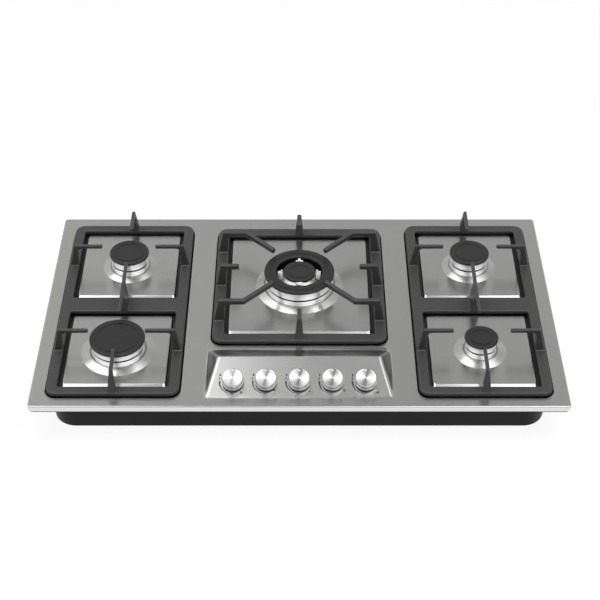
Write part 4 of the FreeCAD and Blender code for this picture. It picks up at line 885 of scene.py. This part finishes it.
def rounded_block(low_x, high_x, low_y, high_y, low, high):
    """A block with rounded upright and top edges: an outline carried with a rounded shoulder, closed flat."""
    path = rectangle_path(low_x, high_x, low_y, high_y, 1.2, 5)
    wall = rounded([(-1.1, high), (0.0, high, 1.0), (0.0, low)])
    return [
        carried(path, wall, PLATE_TOP),
        filled([offset_path(path, wall[0, 0])], PLATE_TOP + high),
        filled([path[0]], PLATE_TOP + low),
    ]


# ---------------------------------------------------------------- pan supports


def slab(outline, half_width, edge):
    """A blade between two faces: the outline's points are moved inwards as the edge rounds over, by
    edge x (1 - cos), and out sideways by edge x sin. Half width is a function of height."""
    step = np.roll(outline, -1, axis=0) - np.roll(outline, 1, axis=0)
    inward = np.stack([-step[:, 1], step[:, 0]], axis=-1)
    inward /= np.linalg.norm(inward, axis=1)[:, None]
    after = np.roll(outline, -1, axis=0)
    inward *= np.sign(np.sum(outline[:, 0] * after[:, 1] - outline[:, 1] * after[:, 0]))
    rows = []
    quarter = np.linspace(0, np.pi / 2, 4)
    for side, angles in ((-1, quarter[::-1]), (1, quarter)):
        for angle in angles:
            ring = outline + inward * edge * (1 - math.cos(angle))
            width = half_width(ring[:, 1]) - edge * (1 - math.sin(angle))
            rows.append(np.column_stack([ring[:, 0], side * width, ring[:, 1]]))
    wall = quads(np.array(rows), close_columns=True)
    return [wall] + [(row, triangles([row[:, ::2]])) for row in (rows[0], rows[-1])]


def finger(profile, x, y, degrees, top_width=SIDE_TOP_WIDTH):
    """A finger from its side outline, pointing away from (x, y): its width falls evenly from foot to arm."""
    def half_width(height):
        share = np.clip((height - BAR_TOP) / (FINGER_TOP - CENTRE_ARM - BAR_TOP), 0, 1)
        return (FINGER_BASE_WIDTH + (top_width - FINGER_BASE_WIDTH) * share) / 2

    def put(points):
        cosine, sine = math.cos(math.radians(degrees)), math.sin(math.radians(degrees))
        out, across, up = points.T
        return np.column_stack([x + out * cosine - across * sine, y + out * sine + across * cosine,
                                up + PLATE_TOP])

    return [moved(part, put) for part in slab(rounded(profile, closed=True), half_width, FINGER_ROUND)]


def finger_profile(tip, bar_in, bar_out, arm=SIDE_ARM):
    """Side outline of a finger: a level arm whose web sweeps down to the bar."""
    under = FINGER_TOP - arm
    foot = (BAR_TOP + BAR_BOTTOM) / 2
    return [
        (tip, under, TIP_ROUND),
        (bar_in - WEB_LEAN, under, FINGER_BEND),
        (bar_in + WEB_LEAN, foot, FOOT_ROUND),
        (bar_out - FINGER_FLARE, foot, FOOT_ROUND),
        (bar_out - FINGER_INSET, FINGER_TOP, HEAD_ROUND),
        (tip, FINGER_TOP, TIP_ROUND),
    ]


def crossbar_finger(x):
    """The crossbar's long finger with a tip over each burner, on a foot as wide as the crossbar."""
    origin = BURNERS["front_left"][1]
    start, end = SIDE_TIP, BURNERS["rear_left"][1] - SIDE_TIP - origin
    under = FINGER_TOP - SIDE_ARM
    foot = (BAR_TOP + BAR_BOTTOM) / 2
    front_foot, rear_foot = -CROSSBAR_FRONT - origin, CROSSBAR_REAR - origin
    profile = [
        (start, under, TIP_ROUND), (front_foot, under, FINGER_BEND), (front_foot, foot, FOOT_ROUND),
        (rear_foot, foot, FOOT_ROUND), (rear_foot, under, FINGER_BEND), (end, under, TIP_ROUND),
        (end, FINGER_TOP, TIP_ROUND), (start, FINGER_TOP, TIP_ROUND),
    ]
    return finger(profile, x, origin, 90)


def bar_frame(node):
    """A support's frame of bars: flat top and underside with rounded walls round each outline."""
    wall = rounded([(-BAR_SHOULDER, BAR_TOP), (0.0, BAR_TOP, BAR_ROUND), (0.0, BAR_BOTTOM, BAR_FOOT_ROUND),
                    (-BAR_SHOULDER, BAR_BOTTOM)])
    outer = rectangle_path(*frame_of(node), SUPPORT_CORNER)
    surfaces = [carried(outer, wall, PLATE_TOP)]
    tops, unders = [offset_path(outer, wall[0, 0])], [offset_path(outer, wall[-1, 0])]
    for window in windows_of(node):
        inner = rectangle_path(*window, WINDOW_CORNER)
        surfaces.append(carried(inner, wall * MIRROR, PLATE_TOP))
        tops.append(offset_path(inner, -wall[0, 0]))
        unders.append(offset_path(inner, -wall[-1, 0]))
    return surfaces + [filled(tops, PLATE_TOP + BAR_TOP), filled(unders, PLATE_TOP + BAR_BOTTOM)]


def side_fingers(node):
    """A side support's fingers: three towards each burner and the crossbar's double one."""
    low_x, high_x, low_y, high_y = frame_of(node)
    label = node.rsplit("_", 1)[1]
    surfaces = []
    for row, outer_y, turn in (("rear", high_y, 90), ("front", low_y, 270)):
        x, y, *_ = BURNERS[f"{row}_{label}"]
        for degrees, out in ((0, high_x - x), (180, x - low_x), (turn, abs(outer_y - y))):
            surfaces += finger(finger_profile(SIDE_TIP, out - SIDE_BAR, out), x, y, degrees)
    return surfaces + crossbar_finger(x)


def centre_fingers(node):
    """The centre support's fingers: four bent arms and four short ones."""
    _, high_x, low_y, high_y = frame_of(node)
    x, y, *_ = BURNERS["centre"]
    under, width = FINGER_TOP - CENTRE_ARM, CENTRE_TOP_WIDTH
    diagonal_end = DIAGONAL_END * math.sqrt(2) + FOOT_ROUND
    diagonal = [(DIAGONAL_TIP, under, TIP_ROUND), (diagonal_end, under, FOOT_ROUND),
                (diagonal_end, FINGER_TOP, FOOT_ROUND), (DIAGONAL_TIP, FINGER_TOP, TIP_ROUND)]
    outward = finger_profile(DIAGONAL_END - width / 2, high_x - CENTRE_BAR, high_x, CENTRE_ARM)
    stub = finger_profile(SIDE_STUB_TIP, high_x - CENTRE_BAR, high_x, CENTRE_ARM)
    surfaces = []
    for sign_x, turn in ((1, 0), (-1, 180)):
        surfaces += finger(stub, x, y, turn, width)
        for sign_y in (1, -1):
            surfaces += finger(diagonal, x, y, math.degrees(math.atan2(sign_y, sign_x)), width)
            surfaces += finger(outward, x, y + sign_y * DIAGONAL_END, turn, width)
    for turn, out in ((90, high_y - y), (270, y - low_y)):
        end_stub = finger_profile(END_STUB_TIP, out - CENTRE_BAR, out, CENTRE_ARM)
        surfaces += finger(end_stub, x, y, turn, width)
    return surfaces


def make_support(label):
    """One pan support: its bars and fingers welded into a casting with soft joints."""
    node = f"pan_support_{label}"
    fingers = centre_fingers(node) if label == "centre" else side_fingers(node)
    piece = new_piece(f"cast_support_{label}", bar_frame(node) + fingers, CAST_IRON, f"support_{label}",
                      node)
    weld = piece.modifiers.new("casting", "REMESH")
    weld.mode = "VOXEL"
    weld.voxel_size = CASTING_VOXEL * MM
    soften = piece.modifiers.new("soften", "SMOOTH")
    soften.factor = 0.5
    soften.iterations = 3
    settle(piece, 80)


# ---------------------------------------------------------------- knobs and print


def knob_surface():
    """A spun knob in its own frame: a section turned about Z, whose shallow face dips by a smooth bowl at
    the pointer: depth x (1 - (distance / radius)^2)^2."""
    inside = KNOB_TOP - KNOB_WALL
    section = rounded([
        (STEM_BORE, STEM_BOTTOM),
        (STEM_RADIUS, STEM_BOTTOM, 0.4),
        (STEM_RADIUS, inside, 0.5),
        (KNOB_FACE - KNOB_WALL, inside, 0.8),
        (KNOB_RADIUS - KNOB_WALL, KNOB_BOTTOM, 0.4),
        (KNOB_RADIUS, KNOB_BOTTOM, 0.6),
        (KNOB_RADIUS, KNOB_BOTTOM + SKIRT_HEIGHT, 0.5),
        (KNOB_RADIUS - SKIRT_STEP, KNOB_BOTTOM + SKIRT_HEIGHT + 0.4, 0.3),
        (KNOB_FACE + 0.5, KNOB_TOP - FACE_SHOULDER, 0.6),
        (KNOB_FACE - FACE_ROLL, KNOB_TOP, 0.4),
        (KNOB_FACE - 2 * FACE_ROLL, KNOB_TOP - DISH_EDGE, 0.3),
    ], 4)
    radii = np.concatenate([np.linspace(section[-1, 0] - 0.2, 10.5, 24), np.linspace(10, 0, 12)])
    face = np.column_stack([radii, KNOB_TOP - DISH_EDGE - DISH_DEPTH * (1 - (radii / KNOB_FACE) ** 2)])
    bore_end = KNOB_TOP - KNOB_WALL * 1.5
    bore = [(0.0, bore_end), (STEM_BORE, bore_end), (STEM_BORE, STEM_BOTTOM + 1)]
    points, faces = turned(np.concatenate([bore, section, face]), steps=144)
    distance = np.hypot(points[:, 0], points[:, 1] - POINTER_PLACE) / POINTER_RADIUS
    on_face = (points[:, 2] > KNOB_TOP - 1) & (distance < 1)
    points[:, 2] -= np.where(on_face, POINTER_DEPTH * (1 - np.minimum(distance, 1) ** 2) ** 2, 0)
    return points, faces


def make_knobs():
    """The five spun knobs."""
    surface = knob_surface()
    axis = (0, -math.sin(SLOPE_TILT), math.cos(SLOPE_TILT))
    for index, label in enumerate(KNOBS):
        placed = moved(surface, lambda points: on_slope(points, index))
        centre = on_slope(np.zeros((1, 3)), index)[0] * MM
        finish = spun_finish(f"spun_aluminium_knob_{label}", "#b4b4b4", 0.23, centre, axis, 0.97)
        new_piece(f"spun_knob_{label}", [placed], finish, f"knob_{label}", f"knob_{label}", 30)


def arc_band(radius, start, end, width_start, width_end, steps=40):
    """A flat band along an arc, whose width goes evenly from one value to another; angles in degrees."""
    angles = np.radians(np.linspace(start, end, steps))[:, None]
    half = np.linspace(width_start, width_end, steps) / 2
    reach = radius + half[:, None] * np.linspace(-1, 1, 3)
    return level_surface(reach * np.cos(angles), reach * np.sin(angles))


def disc(x, y, radius, steps=24):
    """A flat disc as rings of points round its centre."""
    angles = np.linspace(0, 2 * np.pi, steps, endpoint=False)[:, None]
    reach = np.linspace(0, radius, 3)
    return level_surface(x + reach * np.cos(angles), y + reach * np.sin(angles), close_rows=True)


def flame(x, y, size):
    """A flat flame mark: half width 0.32 size x sin(pi t)^0.7 x (1 - 0.45 t) along its height t, leaning by
    0.12 size x sin(2 t)."""
    t = np.linspace(0, 1, 12)[:, None]
    half = size * 0.32 * np.sin(np.pi * t) ** 0.7 * (1 - 0.45 * t)
    return level_surface(x + half * np.linspace(-1, 1, 3) + 0.12 * size * np.sin(2 * t), y + t * size)


def square_frame(x, y, half, width):
    """A thin square outline."""
    path = rectangle_path(x - half, x + half, y - half, y + half, 0.8, 4)
    return carried(path, np.array([(0.0, 0.0), (-width, 0.0)]))


def make_print():
    """The marks printed round each knob: a band for the flame's size, two flames, an off dot and a square
    with a dot at the burner's place."""
    surfaces = []
    x, y = SQUARE_PLACE
    for index, (right, back) in enumerate(KNOBS.values()):
        spot = disc(x + right * SPOT_STEP[0], y + back * SPOT_STEP[1], SPOT_RADIUS)
        marks = [arc_band(*BAND), disc(*OFF_DOT), spot, square_frame(x, y, SQUARE_HALF, SQUARE_LINE)]
        for mark in marks + [flame(*place) for place in FLAMES]:
            surfaces.append(moved(mark, lambda points: on_slope(points + [0, 0, INK_GAP], index)))
    piece = new_piece("console_print", surfaces, INK, "hob")
    face_out(piece.data, UP)
    give_wall(piece, INK_THICKNESS, 1, 40)


# ---------------------------------------------------------------- finishes on the CAD nodes


def paint(node, finish):
    """Give a CAD node a finish."""
    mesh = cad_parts[node].data
    mesh.materials.clear()
    mesh.materials.append(finish)


def paint_nodes():
    """Every CAD node's finish."""
    for name, (x, y, cap, *_) in BURNERS.items():
        cup = burner_finish(f"machined_cup_painted_shade_{name}", x, y, 0.0, cap - CUP_INSET - CUP_SKIN)
        paint(f"flame_spreader_{name}", cup)
        paint(f"burner_cup_{name}", cup)
        paint(f"burner_cap_{name}", CAP_ENAMEL)
    for label in ("left", "centre", "right"):
        paint(f"support_feet_{label}", RUBBER)
        paint(f"pan_support_{label}", CAST_IRON)
    for label in KNOBS:
        paint(f"knob_{label}", ZINC)
        paint(f"spindle_{label}", DRAWN_STEEL)
        paint(f"tap_spring_{label}", DRAWN_STEEL)
        paint(f"tap_plug_{label}", BRASS)
    for node, finish in {
        "hob_plate": STEEL, "burner_box": POWDER_COAT, "burner_rails": ZINC, "worktop_clamps": ZINC,
        "worktop_seal": FOAM, "clamp_screws": ZINC, "manifold_rail": DRAWN_STEEL,
        "thermocouples": DRAWN_STEEL, "inlet_elbow": BRASS, "tap_bodies": BRASS, "injectors": BRASS,
        "feed_pipes": TUBE_ALUMINIUM, "spark_generator": PLASTIC, "cable_gland": PLASTIC,
        "knob_seals": PLASTIC, "ignition_electrodes": CERAMIC, "burner_cap_centre_inner": CAP_ENAMEL,
    }.items():
        paint(node, finish)


# ---------------------------------------------------------------- floor, light and camera


def seen_rays(tree):
    """The Light Path node, and a link that is 1 for what the camera, metal and glass show."""
    path = add(tree, "LightPath")
    seen = path, "Is Camera Ray"
    for kind in ("Is Glossy Ray", "Is Transmission Ray"):
        seen = add(tree, "Math", {0: seen, 1: (path, kind)}, operation="MAXIMUM"), "Value"
    return path, seen


def make_floor():
    """A plain pale floor that keeps the object's shadow and shows white to the camera elsewhere."""
    grid = np.linspace(-FLOOR_REACH, FLOOR_REACH, 3)
    mesh = new_mesh("floor", [level_surface(grid[:, None], grid[None, :], CAD_LOW.z / MM - FLOOR_GAP)])
    face_out(mesh, UP)
    finish, tree = new_finish("pale_floor")
    _, seen = seen_rays(tree)
    tone = add(tree, "Mix", {"Factor": seen, "A": linear("#e6e6e6"), "B": linear("#585858")},
               data_type="RGBA")
    matt = add(tree, "BsdfDiffuse", {"Color": (tone, "Result")})
    lift = add(tree, "Math", {0: seen, 1: 0.92}, operation="MULTIPLY")
    glow = add(tree, "Emission", {"Strength": (lift, "Value"), "Color": (1, 1, 1, 1)})
    both = add(tree, "AddShader", {0: (matt, "BSDF"), 1: (glow, "Emission")})
    add(tree, "OutputMaterial", {"Surface": (both, "Shader")})
    mesh.materials.append(finish)
    new_object("floor", mesh)


def make_world():
    """Soft even light, white to the camera. Metal mirrors it darker overhead, where far softboxes stand."""
    world = bpy.data.worlds.new("studio")
    bpy.context.scene.world = world
    world.use_nodes = True
    tree = world.node_tree
    tree.nodes.clear()
    path, seen = seen_rays(tree)
    strength = add(tree, "MapRange", {"Value": seen, "To Min": SKY_FILL, "To Max": 1.0})
    place = add(tree, "TexCoord")
    split = add(tree, "SeparateXYZ", {"Vector": (place, "Generated")})
    height = add(tree, "MapRange", {"Value": (split, "Z"), "From Min": 0.35, "From Max": 0.9,
                                              "To Min": 1.0, "To Max": 0.4})
    mirrored = add(tree, "Math", {0: (height, "Result"), 1: far_softboxes(tree, place)}, operation="ADD")
    glossy = add(tree, "Mix", {"Factor": (path, "Is Glossy Ray"), "A": 1.0, "B": (mirrored, "Value")})
    level = add(tree, "Math", {0: (strength, "Result"), 1: (glossy, "Result")}, operation="MULTIPLY")
    sky = add(tree, "Background", {"Strength": (level, "Value"), "Color": (1, 1, 1, 1)})
    add(tree, "OutputWorld", {"Surface": (sky, "Background")})


def far_softboxes(tree, place):
    """Two softboxes overhead as polished metal mirrors them from afar: bright where the direction's slope
    X / Z is past the dark gap on either side and its slope Y / Z is between two bounds, after a turn
    about Z."""
    turn = add(tree, "Mapping", {"Vector": (place, "Generated"),
                                           "Rotation": (0, 0, math.radians(GAP_TURN))})
    split = add(tree, "SeparateXYZ", {"Vector": (turn, "Vector")})
    up = add(tree, "Math", {0: (split, "Z"), 1: 0.01}, operation="MAXIMUM"), "Value"
    side = add(tree, "Math", {0: (split, "X"), 1: up}, operation="DIVIDE"), "Value"
    side = add(tree, "Math", {0: side}, operation="ABSOLUTE"), "Value"
    along = add(tree, "Math", {0: (split, "Y"), 1: up}, operation="DIVIDE"), "Value"
    return stepped(tree, SOFTBOX_LEVEL, [(side, *GAP_SIDE), (side, *OUTER_SIDE), (along, *REAR_SIDE),
                                         (along, *FRONT_SIDE)])


def softbox(name, place, target, width, depth):
    """A rectangular lamp aimed at a target, left out of reflections; its power is radiance x area x pi."""
    lamp = bpy.data.lights.new(name, "AREA")
    lamp.shape = "RECTANGLE"
    lamp.size, lamp.size_y = width, depth
    lamp.energy = LAMP_RADIANCE * width * depth * math.pi
    holder = new_object(name, lamp)
    holder.visible_glossy = False
    holder.location = place
    holder.rotation_euler = (Vector(target) - Vector(place)).to_track_quat("-Z", "Y").to_euler()


def make_camera():
    """The photograph's viewpoint: in front of the cooktop, looking down at about 40 degrees."""
    lens = bpy.data.cameras.new("camera")
    lens.lens = LENS
    lens.sensor_width = 36.0
    camera = new_object("camera", lens)
    camera.location = CAMERA_PLACE
    camera.rotation_euler = (math.radians(CAMERA_TILT), 0, 0)
    bpy.context.scene.camera = camera


make_plate()
make_box()
for burner in BURNERS:
    make_crown(burner)
for side in ("left", "centre", "right"):
    make_support(side)
make_knobs()
make_print()
paint_nodes()
make_floor()
make_world()
for lamp_name, lamp_facts in LAMPS.items():
    softbox(lamp_name, *lamp_facts)
make_camera()
bpy.context.scene.view_settings.view_transform = "Standard"
